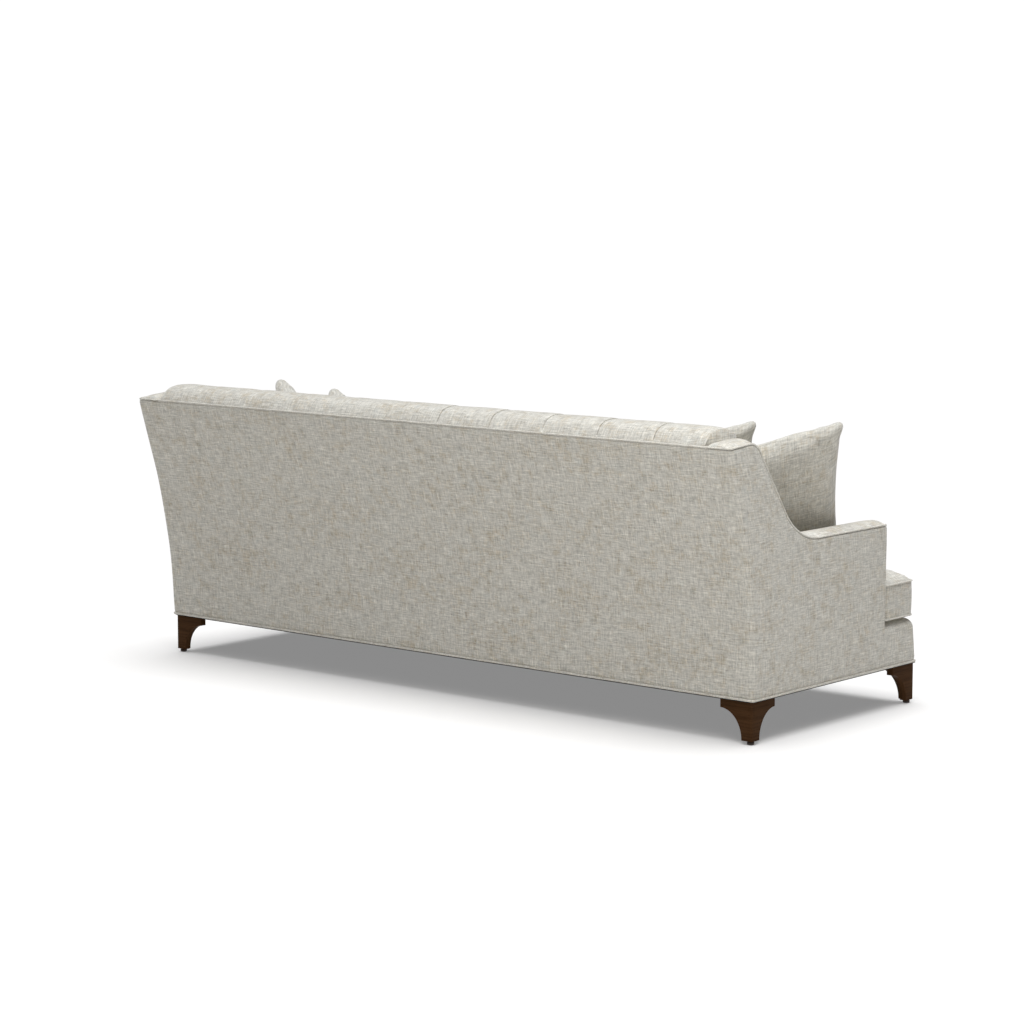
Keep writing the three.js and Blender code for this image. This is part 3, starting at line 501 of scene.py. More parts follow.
# Outside cover: one cloth round the back and both sides
def outside_cover():
    top = below_wing(WELT + GAP)
    tuck_rows = [0, 1.5, 3.5, 6.5, 11, 18]

    def column(kind, share):
        """Outer and inner points from the bottom to the top of one column of the cover."""
        if kind == "side":
            y_top, z_top = share
            room = back_face(z_top) - corner_at(z_top) - ARM_FRONT
            share = (y_top - ARM_FRONT) / room
        else:
            z_top = PANEL_TOP
        z = PANEL_BOTTOM + ramped(tuck_rows, z_top - PANEL_BOTTOM, 46)
        edge = np.minimum(z - PANEL_BOTTOM, z_top - z)
        tuck = TUCK * np.exp(-((edge / TUCK_REACH) ** 2)) - 1.2 * smoothstep(edge, 4, 60)
        shapes = []
        for inward in (tuck, np.full_like(z, SKIN)):
            half, back, corner = half_width(z) - inward, back_face(z) - inward, corner_at(z) - inward
            if kind == "back":
                x, y = share * (half - corner), back + 0 * z
            elif kind == "corner":
                x = half - corner * (1 - math.sin(share))
                y = back - corner * (1 - math.cos(share))
            else:
                x, y = half, ARM_FRONT + share * (back - corner - ARM_FRONT)
            shapes.append(np.stack([x, y, z], 1))
        return shapes

    columns = [column("back", t) for t in np.linspace(0, 1, 70)]
    columns += [column("corner", a) for a in quarter(11)[1:]]
    side = [p for p in top if p[0] < BACK_TOP - CORNER_TOP - 4]
    columns += [column("side", p) for p in side[:-1]]
    front = column("side", (ARM_FRONT, top[-1, 1]))
    outer = [c[0] for c in columns]
    inner = [c[1] for c in columns]
    for a in quarter(6):
        ring = front[0].copy()
        round_in = lerp(2, 7, smoothstep(ring[:, 2], DECK_HEIGHT - 30, DECK_HEIGHT + 5))
        ring[:, 1] = ARM_FRONT + round_in * (1 - math.sin(a))
        ring[:, 0] -= round_in * (1 - math.cos(a))
        outer.append(ring)
        lining = front[1].copy()
        lining[:, 1] = ring[:, 1]
        inner.append(lining)
    outer, inner = np.array(outer), np.array(inner)
    spread = np.cumsum(np.concatenate([[0], np.linalg.norm(np.diff(outer[:, 30], axis=0), axis=1)]))
    ease = smoothstep(outer[:, :, 2], PANEL_BOTTOM, PANEL_BOTTOM + 60)
    swell = waves(spread[:, None] + 0 * ease, outer[:, :, 2], 95) * 1.1 * ease
    step = np.gradient(outer, axis=0)
    away = unit(np.stack([step[:, :, 1], -step[:, :, 0], 0 * step[:, :, 0]], -1) + 1e-9)
    away *= np.sign((away * outer)[:, :, :2].sum(-1) + 1e-9)[..., None]
    outer = outer + away * (swell * smoothstep(outer[:, :, 2].max(1)[:, None] - outer[:, :, 2], 0, 60))[..., None]
    outer[0, :, 0] = 0
    inner[0, :, 0] = 0
    cloth = np.stack([spread[:, None] + 0 * ease, outer[:, :, 2]], -1)
    return closed_sheet(outer, inner, cloth)


def closed_sheet(outer, inner, cloth):
    """Half of a cover and its mirror image, closed all round except at the middle, where the halves meet."""
    half = [patch(outer, cloth), patch(inner, cloth)]
    for k in (0, -1):
        strip = np.stack([outer[:, k], inner[:, k]], 1)
        half.append(patch(strip, even_cloth(strip)))
    strip = np.stack([outer[-1], inner[-1]], 1)
    half.append(patch(strip, even_cloth(strip)))
    other = [(p * (-1, 1, 1), f, c * (-1, 1)) for p, f, c in half]
    return half + other


show("outside_cover", mesh_of("outside_cover", outside_cover(), crease=50), upholstery, "upholstery",
     replaces=("outside_back", "outside_arm_left", "outside_arm_right"))


# Welts
def bottom_welt():
    half, rear, front = BASE_WIDTH / 2 - WELT_RADIUS, -WELT_RADIUS, WELT_RADIUS - BASE_DEPTH
    plan = closed_rounded([[half, rear], [-half, rear], [-half, front], [half, front]], [WELT_CORNER] * 4, 12)
    return tube(at_height(plan, PANEL_BOTTOM - GAP - WELT_RADIUS), BASE_CORD, closed=True)


def shade_line_cord():
    """A thin black cord in the dust cloth's finish, shaped as the dust cloth's folded edge, just inside the bottom welt
    on the back and sides, and between the front legs: painted shade, a dark line standing in for the shade under the
    welt.
    """
    x, front, z = BASE_WIDTH / 2 - SHADE_CORD_SET_IN, SHADE_CORD_SET_IN - BASE_DEPTH, LEG_TOP - SHADE_CORD_RADIUS + GAP
    path = rounded([[x, front], [x, -SHADE_CORD_SET_IN], [-x, -SHADE_CORD_SET_IN], [-x, front]], [6, 6], 6)
    reach = BASE_WIDTH / 2 - LEG_SET_IN - LEG_REACH - 2
    across = np.linspace([reach, front], [-reach, front], 40)
    return [part for line in (resample(path, 20), across) for part in tube(at_height(line, z), SHADE_CORD_RADIUS, 8)]


def top_welt():
    line = below_wing(WELT_RADIUS, 6)[::-1]
    side = np.column_stack([half_width(line[:, 1]) - WELT_RADIUS, line])
    side = side[side[:, 1] > ARM_FRONT + 6]
    wrap = np.linspace(0, 1.2, 5)[::-1]
    foot = side[0]
    end = np.column_stack([foot[0] - 6 * (1 - np.cos(wrap)), ARM_FRONT + 6 - 4.5 * np.sin(wrap), foot[2] + 0 * wrap])
    side = np.vstack([end, side])
    corner = side[-1].copy()
    corner[1] = BACK_TOP - WELT_RADIUS
    corner[2] = BACK_HEIGHT - WELT_RADIUS
    turn = 7
    side = side[side[:, 1] < corner[1] - turn]
    arc = [corner + turn * np.array([math.cos(a) - 1, math.sin(a) - 1, 0]) for a in quarter(8)]
    across = [[x, corner[1], corner[2]] for x in np.linspace(corner[0] - turn, 0, 120)[1:]]
    half = np.vstack([side, arc, across])
    return tube(np.vstack([half, (half * (-1, 1, 1))[-2::-1]]), CORD)


show("bottom_welt_cord", mesh_of("bottom_welt_cord", bottom_welt()), trim, "welt", replaces=("bottom_welt",))
# A dark cord under the bottom welt: painted shade standing in for the shade there
show("dust_cover_hem", mesh_of("dust_cover_hem", shade_line_cord()), dust_cloth, "dust_cloth")
show("top_welt_cord", mesh_of("top_welt_cord", top_welt()), trim, "welt",
     replaces=("back_welt", "arm_welt_left", "arm_welt_right"))


# Arms and wings: crowned pad from the welt over the top and down the inside
WING_END = 5


def round_off(distance, reach):
    """Height of a quarter round over its reach, from 0 at its edge to 1."""
    return np.sqrt(1 - (1 - np.clip(distance / reach, 0, 1)) ** 2)


def arm_section(line, front_distance):
    """Crown and roll of the pad as offsets (x, height over the line) at each station."""
    ease = lerp(0.72, 1, round_off(front_distance, 60))
    ease *= lerp(0.1, 1, round_off(BACK_TOP - WING_END - line[:, 0], 30))
    outer = half_width(line[:, 1]) - WELT + 1
    crown = np.linspace(0, 1, 15)
    x = lerp(outer[:, None], INNER_HALF + ARM_ROLL, crown[None])
    height = -WELT_RADIUS - 0.8 + ARM_CROWN * np.sin(crown * math.pi * 0.75)[None] ** 0.75 * ease[:, None]
    turn = quarter(9)[1:]
    roll_x = INNER_HALF + ARM_ROLL * (1 - np.sin(turn))
    roll_height = height[:, -1:] - ARM_ROLL * (1 - np.cos(turn))[None]
    x = np.hstack([x, np.broadcast_to(roll_x, (len(line), len(turn)))])
    height = np.hstack([height, roll_height])
    return x, height


def inside_arm():
    wing = np.array(WING_LINE)[::-1]
    rear = BACK_TOP - np.array([WING_END, 6.5, 9, 12.5, 17, 23, 30])
    line = resample(WING_LINE, 9)
    line = line[(line[:, 0] < rear[-1] - 5) & (line[:, 0] > ARM_FRONT + SKIN + GAP)]
    line = np.vstack([np.column_stack([rear, np.interp(rear, wing[:, 0], wing[:, 1])]), line,
                      [ARM_FRONT + SKIN + GAP, ARM_HEIGHT]])
    up = -normals_2d(line)
    x, height = arm_section(line, line[:, 0] - ARM_FRONT)
    y = line[:, :1] + up[:, :1] * height
    z = line[:, 1:] + up[:, 1:] * height
    y = np.clip(y, ARM_FRONT + SKIN + GAP, None)
    foot_z = RAIL_TOP + GAP
    foot_rear = float(back_face(foot_z)) - SKIN - FRAME_DEPTH
    foot_y = lerp(ARM_FRONT + SKIN + GAP, foot_rear,
                  (line[:, 0] - line[-1, 0]) / (line[0, 0] - line[-1, 0]))
    t = np.linspace(0, 1, 26)[1:]
    face_y = lerp(y[:, -1:], foot_y[:, None], t[None])
    face_z = lerp(z[:, -1:], foot_z, t[None])
    hollow = 1.2 * (1 + waves(face_y, face_z, 70)) * np.sin(t * math.pi)[None]
    outer_x = np.full(len(line), INNER_HALF + SLAB)
    cap_z = np.where(line[:, 0] > BACK_TOP - SKIN - 3, PANEL_TOP + 0.5, line[:, 1] - ARM_CAP * 1.2)
    xs = np.column_stack([x, INNER_HALF + hollow, outer_x, outer_x, x[:, 0]])
    ys = np.column_stack([y, face_y, foot_y, line[:, 0], line[:, 0]])
    zs = np.column_stack([z, face_z, np.full(len(line), foot_z), cap_z, cap_z])
    rings = np.stack([xs, ys, zs], -1)
    around = np.concatenate([[0], np.cumsum(np.linalg.norm(np.diff(rings, axis=1), axis=2).mean(0)), [0]])
    around[-1] = around[-2] + 30
    down = lengths(line)
    return loft(rings, grid_cloth(down, around))


def arm_front():
    line = np.array([[ARM_FRONT, ARM_HEIGHT]])
    x, height = arm_section(line, np.array([SKIN]))
    outline = np.column_stack([x[0], ARM_HEIGHT + height[0]])
    foot = DECK_HEIGHT + 1
    outline[0, 0] = half_width(ARM_HEIGHT) - 7.5
    outline = np.vstack([outline, [[INNER_HALF, foot], [half_width(foot) - 7.5, foot]]])
    outline = resample(outline, 7, closed=True)
    normal = normals_2d(outline, closed=True)
    centre = outline.mean(0)
    inward = normal * np.sign(((centre - outline) * normal).sum(1).mean())
    rings = [(outline + inward * depth, y) for depth, y in ((0, SKIN), (0, 4), (0.8, 2), (2.2, 0.6), (4, 0))]
    edge = rings[-1][0]
    rings += [(lerp(edge, centre, share), y) for share, y in ((0.12, -0.8), (0.3, -1.6), (0.6, -2.2), (0.9, -2.4))]
    rings = np.array([at_height(ring, ARM_FRONT + y)[:, [0, 2, 1]] for ring, y in rings])
    cloth = np.concatenate([rings, rings[:, :1]], 1)[:, :, [0, 2]]
    return loft(rings, cloth)


for side_name, flip in SIDES:
    show(f"inside_arm_pad_{side_name}", mesh_of("inside_arm_pad", flip(inside_arm())), upholstery, "upholstery",
         replaces=(f"inside_arm_{side_name}",))
    show(f"arm_front_panel_{side_name}", mesh_of("arm_front_panel", flip(arm_front()), crease=60), upholstery,
         "upholstery", replaces=(f"arm_front_{side_name}",))


# Inside back: crest roll with pleats, over a face of buttoned diamonds
CREST_BACK = BACK_TOP - SKIN - GAP
BUTTON_SINK, END_ROLL = 9, 70


def pad_curve():
    top = CREST_BACK - CREST_REACH
    front = top - CREST_FRONT
    seat_line = DECK_HEIGHT + BOXING + CUSHION_CROWN

    def face(t):
        return [lerp(front, -SEAT_LINE, t), lerp(CREST_HEIGHT - CREST_DROP, seat_line, t)]

    return np.array([
        [CREST_BACK, BACK_HEIGHT - WELT_RADIUS],
        [lerp(CREST_BACK, top, 0.35), lerp(BACK_HEIGHT, CREST_HEIGHT, 0.74)],
        [top, CREST_HEIGHT],
        [lerp(top, front, 0.58), lerp(CREST_HEIGHT, CREST_HEIGHT - CREST_DROP, 0.26)],
        face(0), face(0.35), face(0.7), face(1),
        [-SEAT_LINE - PAD_FOOT, DECK_HEIGHT + GAP],
    ])


def back_rise(x, down):
    """How far the pad stands out of its pleats: 0 on a pleat, 1 in the middle of a diamond."""
    across = x / TUFT_PITCH - 0.5
    below = np.maximum(down - TUFT_START, 0) / (2 * TUFT_ROW)
    return np.abs(np.sin(math.pi * (across + below)) * np.sin(math.pi * (across - below)))


def button_places(length):
    places = []
    for row in range(int((length - TUFT_START - 40) // TUFT_ROW) + 1):
        for k in range(-8, 9):
            x = TUFT_PITCH * (0.5 + k + row / 2)
            if abs(x) < INNER_HALF - 40:
                places.append((x, TUFT_START + row * TUFT_ROW))
    return places


def pad_surface(x, down, length, curve, tangent):
    """Points of the pad's face for grids of x and of the way down."""
    point, along = curve(down), tangent(down)
    out = np.stack([along[..., 1], -along[..., 0]], -1)
    tufted = smoothstep(down, TUFT_START * 0.66, TUFT_START)
    rise = back_rise(x, down) ** 0.40
    outward = (np.abs(x) / TUFT_PITCH - 0.5) % 1 * TUFT_PITCH
    inward = TUFT_PITCH - outward
    fold = 2.2 * np.exp(-outward / 34) + 1.7 * np.exp(-((outward / 2.0) ** 2)) + 0.9 * np.exp(-((inward / 7) ** 2))
    fold *= smoothstep(down, 0, 10) * (np.abs(x) > TUFT_PITCH / 2 - 12)
    sink = lerp(fold, TUFT_DEPTH * (1 - rise) * smoothstep(length - down, 0, 30), tufted)
    for bx, bd in button_places(length):
        sink += BUTTON_SINK * np.exp(-((np.hypot(x - bx, down - bd) / 17) ** 2))
    half = INNER_HALF - GAP
    end = np.clip((np.abs(x) - half + END_ROLL) / END_ROLL, 0, 1)
    sink += lerp(8, 15, tufted) * (1 - np.sqrt(1 - np.clip(end, 0, 0.999) ** 2)) * smoothstep(down, 0, 60)
    sink -= lerp(0.7, 2.0, tufted) * waves(x, down, 60) * smoothstep(down, 10, 60) * (1 - end)
    yz = point - sink[..., None] * out
    return np.concatenate([x[..., None], yz], -1)


def inside_back():
    fine = 18
    half = INNER_HALF - GAP
    step = TUFT_PITCH / 2 / fine
    count = int(half // step)
    columns = np.arange(-count, count + 1) * step
    seams = TUFT_PITCH * (np.arange(-5, 5) + 0.5)
    close = (seams[:, None] + np.array([-2.9, -1.5, -0.5, 0.5, 1.5, 2.9])).ravel()
    columns = np.unique(np.round(np.concatenate([[-half], columns, close[np.abs(close) < half - 4], [half]]), 4))
    curve_points, length = catmull(pad_curve(), 600)
    places = np.linspace(0, length, 600)

    def curve(down):
        return np.stack([np.interp(down, places, curve_points[:, k]) for k in range(2)], -1)

    def tangent(down):
        slope = unit(np.gradient(curve_points, axis=0))
        return unit(np.stack([np.interp(down, places, slope[:, k]) for k in range(2)], -1))

    row_step = TUFT_ROW / fine
    downs = np.concatenate([np.arange(0, TUFT_START, 6.25), np.arange(TUFT_START, length - 3, row_step), [length]])
    x, down = np.meshgrid(columns, downs, indexing="ij")
    face = pad_surface(x, down, length, curve, tangent)
    shelf_z = BACK_HEIGHT - TOP_RAIL_DROP + GAP
    rear_z = np.linspace(DECK_HEIGHT + GAP, shelf_z, 8)
    rear = [[float(back_face(z)) - SKIN - GAP - FRAME_DEPTH - GAP, z] for z in rear_z]
    rear.append([float(back_face(shelf_z)) - SKIN - GAP, shelf_z])
    rear = np.array(rear)
    lining = np.concatenate([np.broadcast_to(columns[:, None, None], (len(columns), len(rear), 1)),
                             np.broadcast_to(rear[None], (len(columns), len(rear), 2))], -1)
    rings = np.concatenate([face, lining], 1)
    around = np.concatenate([downs, downs[-1] + np.arange(1, len(rear) + 2) * 60.0])
    return loft(rings, grid_cloth(columns, around)), (length, curve, tangent)


back_parts, (pad_length, pad_line, pad_tangent) = inside_back()
show("tufted_back", mesh_of("tufted_back", back_parts, crease=70), upholstery, "upholstery",
     replaces=("inside_back",))


def buttons():
    """Cloth-covered domes pulled into the tufts."""
    parts = []
    radius, height = 9.5, 5.5
    turn = circle(20)
    angles = np.linspace(0, 1, 7)[1:] * math.pi / 2 * 1.15
    profile = [(radius * math.sin(a), height * math.cos(a)) for a in angles]
    for bx, bd in button_places(pad_length):
        x, down = np.array([[bx]]), np.array([[bd]])
        seat = pad_surface(x, down, pad_length, pad_line, pad_tangent)[0, 0]
        along = pad_tangent(down)[0, 0]
        out = np.array([0, along[1], -along[0]])
        out *= -1 if out[1] > 0 else 1
        u, v = np.array([1.0, 0, 0]), np.cross(out, [1.0, 0, 0])
        spokes = np.cos(turn)[:, None] * u + np.sin(turn)[:, None] * v
        rings = np.array([seat + out * (h + 1.0) + r * spokes for r, h in profile])
        flat = np.stack([rings @ u, rings @ v], -1)
        parts += loft(rings, np.concatenate([flat, flat[:, :1]], 1))
    return parts


show("back_buttons", mesh_of("back_buttons", buttons(), crease=50), upholstery, "upholstery")


# Front border
def front_border():
    face_top = DECK_HEIGHT - BORDER_ROUND
    plain_from = PANEL_BOTTOM + 80
    section = []
    for z in (*(PANEL_BOTTOM + rise for rise in (0, 2, 5, 10, 20, 40, 60)), *np.linspace(plain_from, face_top, 3)):
        tuck = TUCK * math.exp(-((z - PANEL_BOTTOM) / TUCK_REACH) ** 2) if z < plain_from else 0.0
        section.append((z, BORDER_LEAN * (z - PANEL_BOTTOM) / (face_top - PANEL_BOTTOM) + tuck, tuck))
    for a in quarter(12)[1:]:
        inset = BORDER_ROUND * (1 - math.cos(a))
        section.append((face_top + BORDER_ROUND * math.sin(a), BORDER_LEAN + inset, inset))
    section += [(DECK_HEIGHT, d, d) for d in (BORDER_LEAN + 50, 78)]
    section += [(DECK_HEIGHT - 1.5, BORDER_LIP_DEPTH - 1, BORDER_LIP_DEPTH - 1),
                (DECK_HEIGHT - BORDER_LIP, BORDER_LIP_DEPTH - 1, BORDER_LIP_DEPTH - 1),
                (DECK_HEIGHT - BORDER_LIP, BORDER_FRONT, BORDER_PAD), (PANEL_BOTTOM, BORDER_FRONT, BORDER_PAD)]
    rings = []
    for z, front_inset, side_inset in section:
        half, front = HALF_BASE - side_inset, front_inset + WELT_PROUD - BASE_DEPTH
        radius = max(BORDER_CORNER - 0.25 * side_inset, 3)
        right = [[half - radius * (1 - math.cos(a)), front + radius * (1 - math.sin(a))]
                 for a in quarter(9)]
        side = [[half, y] for y in np.linspace(ARM_FRONT - GAP, right[0][1], 16)[:-1]]
        across = [[x, front] for x in np.linspace(right[-1][0], 0, 70)[1:]]
        path = np.array(side + right + across)
        rings.append(at_height(np.vstack([path, (path * (-1, 1))[-2::-1]]), z))
    rings = np.array(rings).transpose(1, 0, 2)
    swell = waves(rings[..., 0] + rings[..., 1], rings[..., 2], 80) * 1.2
    shown = np.zeros(rings.shape[1])
    shown[4:14] = 1
    rings[..., 1] += swell * shown[None] * (np.abs(rings[..., 0]) < HALF_BASE - 30)
    around = np.concatenate([lengths(rings[len(rings) // 2][:, 1:]), [0]])
    around[-1] = around[-2] + 20
    down = lengths(rings[:, 4])
    return loft(rings, grid_cloth(down, around))


show("front_border_pad", mesh_of("front_border_pad", front_border(), crease=60), upholstery, "upholstery",
     replaces=("front_border",))


# Deck under the seat cushions
def slab(x0, x1, y0, y1, z0, z1, crown, spacing=24):
    xs, ys = np.linspace(x0, x1, int((x1 - x0) / spacing)), np.linspace(y0, y1, int((y1 - y0) / spacing))
    x, y = np.meshgrid(xs, ys, indexing="ij")
    edge = np.minimum.reduce([x - x0, x1 - x, y - y0, y1 - y])
    lift = crown * (smoothstep(edge, 0, 60) - 1)
    top = np.stack([x, y, z1 + lift], -1)
    under = np.stack([x, y, np.full_like(x, z0)], -1)
    parts = [patch(top, top[..., :2]), patch(under, under[..., :2])]
    for rim in (np.s_[0], np.s_[-1], np.s_[:, 0], np.s_[:, -1]):
        strip = np.stack([top[rim], under[rim]], 1)
        parts.append(patch(strip, even_cloth(strip)))
    return parts


deck_low, deck_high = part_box("deck_pad")
deck_y = [(deck_low.y - REAR_EDGE) / MM, (deck_high.y - REAR_EDGE) / MM]
show("seat_deck", mesh_of("seat_deck", slab(-INNER_HALF + 1, INNER_HALF - 1, deck_y[0] + 1, deck_y[1] - 1,
     deck_low.z / MM, DECK_HEIGHT, 5)), deck_cloth, "deck_cloth", replaces=("deck_pad",))


# Seat cushions
def inside(polygon, points):
    """Which points lie in a polygon."""
    a, b = polygon, np.roll(polygon, -1, 0)
    x, y = points[:, :1], points[:, 1:]
    crosses = (a[:, 1] > y) != (b[:, 1] > y)
    with np.errstate(divide="ignore", invalid="ignore"):
        at = (b[:, 0] - a[:, 0]) * (y - a[:, 1]) / (b[:, 1] - a[:, 1]) + a[:, 0]
    return (crosses & (x < at)).sum(1) % 2 == 1


def edge_distance(polygon, points):
    a, b = polygon, np.roll(polygon, -1, 0)
    along = b - a
    t = ((points[:, None] - a) * along).sum(-1) / (along**2).sum(-1)
    nearest = a + np.clip(t, 0, 1)[..., None] * along
    return np.linalg.norm(points[:, None] - nearest, axis=-1).min(1)


def filled(outline, spacing):
    """Triangles over an outline, with inner points on an offset lattice. The outline's points come first."""
    low, high = outline.min(0), outline.max(0)
    lattice = []
    for row, y in enumerate(np.arange(low[1] + spacing / 2, high[1], spacing * 0.87)):
        xs = np.arange(low[0] + (spacing / 2 if row % 2 else 0), high[0], spacing)
        lattice.append(np.column_stack([xs, np.full(len(xs), y)]))
    lattice = np.vstack(lattice)
    keep = inside(outline, lattice)
    keep[keep] = edge_distance(outline, lattice[keep]) > spacing * 0.6
    points = np.vstack([outline, lattice[keep]])
    edges = [(k, (k + 1) % len(outline)) for k in range(len(outline))]
    made, _, faces, *_ = delaunay_2d_cdt([Vector(p) for p in points], edges, [], 1, 1e-4)
    assert len(made) == len(points), "the outline's points were merged"
    return points, [tuple(f) for f in faces]


def cushion(corners, radii, spacing=15):
    """A boxed cushion over a plan, with a crowned top: the parts of its cover and the paths of its welts."""
    outline = resample(closed_rounded(corners, radii, 6), 10, closed=True)
    plan, triangles = filled(outline, spacing)
    count = len(outline)
    depth = edge_distance(outline, plan)
    inward = normals_2d(outline, closed=True)
    area = (outline[:, 0] * np.roll(outline[:, 1], -1) - np.roll(outline[:, 0], -1) * outline[:, 1]).sum()
    inward *= 1 if area > 0 else -1
    foot = DECK_HEIGHT + GAP
    seam_low, seam_high = foot + CUSHION_UNDER, foot + CUSHION_UNDER + BOXING
    reach = 92
    crown = CUSHION_CROWN * np.sin(math.pi / 2 * np.clip(depth / reach, 0, 1)) ** 0.85
    crown += 2.2 * waves(plan[:, 0], plan[:, 1], 60) * smoothstep(depth, 5, 60)
    top = np.column_stack([plan, seam_high + crown])
    under = np.column_stack([plan, foot + CUSHION_UNDER * (1 - np.clip(depth / 30, 0, 1)) ** 1.6])
    rows = []
    for t in np.linspace(0, 1, 13):
        bulge = 2.6 * math.sin(math.pi * t) ** 0.6 - 1.0
        rows.append(at_height(outline - inward * bulge, lerp(seam_low, seam_high, t)))
    rows = np.array(rows)
    rows[0], rows[-1] = under[:count], top[:count]
    around = lengths(np.vstack([outline, outline[:1]]))
    height = np.linspace(0, BOXING, len(rows))
    cloth = np.stack(np.meshgrid(around, height), -1)
    faces = np.array(triangles)
    parts = [(top, faces, top[faces][:, :, :2]), (under, faces, under[faces][:, :, :2]), patch(rows, cloth, True)]
    welts = [np.column_stack([outline - inward * 0.6, z]) for z in (rows[-1, :, 2], rows[0, :, 2])]
    return parts, welts


THIRD = INNER_HALF / 3
EAR_OUT = HALF_BASE - CUSHION_FIT
CUSHION_FRONT, CUSHION_BACK = -SEAT_FRONT, -SEAT_LINE - PAD_FOOT - CUSHION_FIT
EAR_BACK = ARM_FRONT - 2 * CUSHION_FIT
side_plan = [[THIRD + CUSHION_FIT, CUSHION_FRONT], [EAR_OUT, CUSHION_FRONT], [EAR_OUT, EAR_BACK],
             [INNER_HALF - CUSHION_FIT, EAR_BACK], [INNER_HALF - CUSHION_FIT, CUSHION_BACK],
             [THIRD + CUSHION_FIT, CUSHION_BACK]]
side_radii = [18, 18, 14, 10, 14, 14]
middle_plan = [[CUSHION_FIT - THIRD, CUSHION_FRONT], [THIRD - CUSHION_FIT, CUSHION_FRONT],
               [THIRD - CUSHION_FIT, CUSHION_BACK], [CUSHION_FIT - THIRD, CUSHION_BACK]]
side_parts, side_welts = cushion(side_plan, side_radii)
middle_parts, middle_welts = cushion(middle_plan, [14] * 4)


def show_cushion(name, parts, welts, flip):
    body = f"{name}_seat_cushion"
    piece = show(f"seat_cushion_cover_{name}", mesh_of("seat_cushion_cover", flip(parts), crease=60), cushion_cloth,
                 "cushion", body, (f"seat_cushion_{name}",))
    for level, path in zip(("upper", "lower"), welts):
        cord = mesh_of("seat_cushion_welt", flip(tube(path, CUSHION_CORD, 10, closed=True)))
        show(f"seat_cushion_{name}_{level}_welt", cord, trim, "welt", body)
    return piece


cushions = {side_name: show_cushion(side_name, side_parts, side_welts, flip) for side_name, flip in SIDES}
show_cushion("middle", middle_parts, middle_welts, SIDES[0][1])


# Throw pillows: a full form whose slack cover is settled into soft creases by a simulation
def settled(points, faces, slack, frames=24):
    """Points of a closed, filled cloth form after its cover has grown by a share and settled, in millimetres."""
    triangles = np.concatenate([faces[:, [0, 1, 2]], faces[:, [0, 2, 3]]])
    a, b, c = (points[triangles[:, k]] * MM for k in range(3))
    mesh = bpy.data.meshes.new("blank")
    mesh.from_pydata((points * MM).tolist(), [], faces.tolist())
    blank = linked("blank", mesh)
    cloth = blank.modifiers.new("cloth", "CLOTH")
    settings = cloth.settings
    settings.quality = 6
    settings.mass = 0.25
    settings.tension_stiffness = settings.compression_stiffness = 25
    settings.tension_damping = settings.compression_damping = settings.shear_damping = 10
    settings.shear_stiffness = 8
    settings.bending_stiffness = 0.15
    settings.air_damping = 4
    settings.shrink_min = -slack
    settings.use_pressure = settings.use_pressure_volume = True
    settings.uniform_pressure_force = 0
    settings.pressure_factor = 12
    settings.target_volume = abs((a * np.cross(b, c)).sum() / 6)
    settings.effector_weights.gravity = 0
    cloth.point_cache.frame_start, cloth.point_cache.frame_end = 1, frames
    for number in range(1, frames + 1):
        scene.frame_set(number)
    shape = blank.evaluated_get(bpy.context.evaluated_depsgraph_get()).to_mesh()
    out = np.empty(len(shape.vertices) * 3, np.float32)
    shape.vertices.foreach_get("co", out)
    bpy.data.objects.remove(blank)
    scene.frame_set(1)
    return out.reshape(-1, 3).astype(float) / MM


def eased(values, faces, loose, rounds):
    """Values of the loose points, each moved again and again towards the mean of its neighbours."""
    first, second = faces.ravel(), np.roll(faces, 1, 1).ravel()
    near = np.bincount(np.concatenate([first, second]), minlength=len(values))
    for _ in range(rounds):
        total = np.bincount(first, values[second], len(values)) + np.bincount(second, values[first], len(values))
        values = np.where(loose, (values + total / near) / 2, values)
    return values


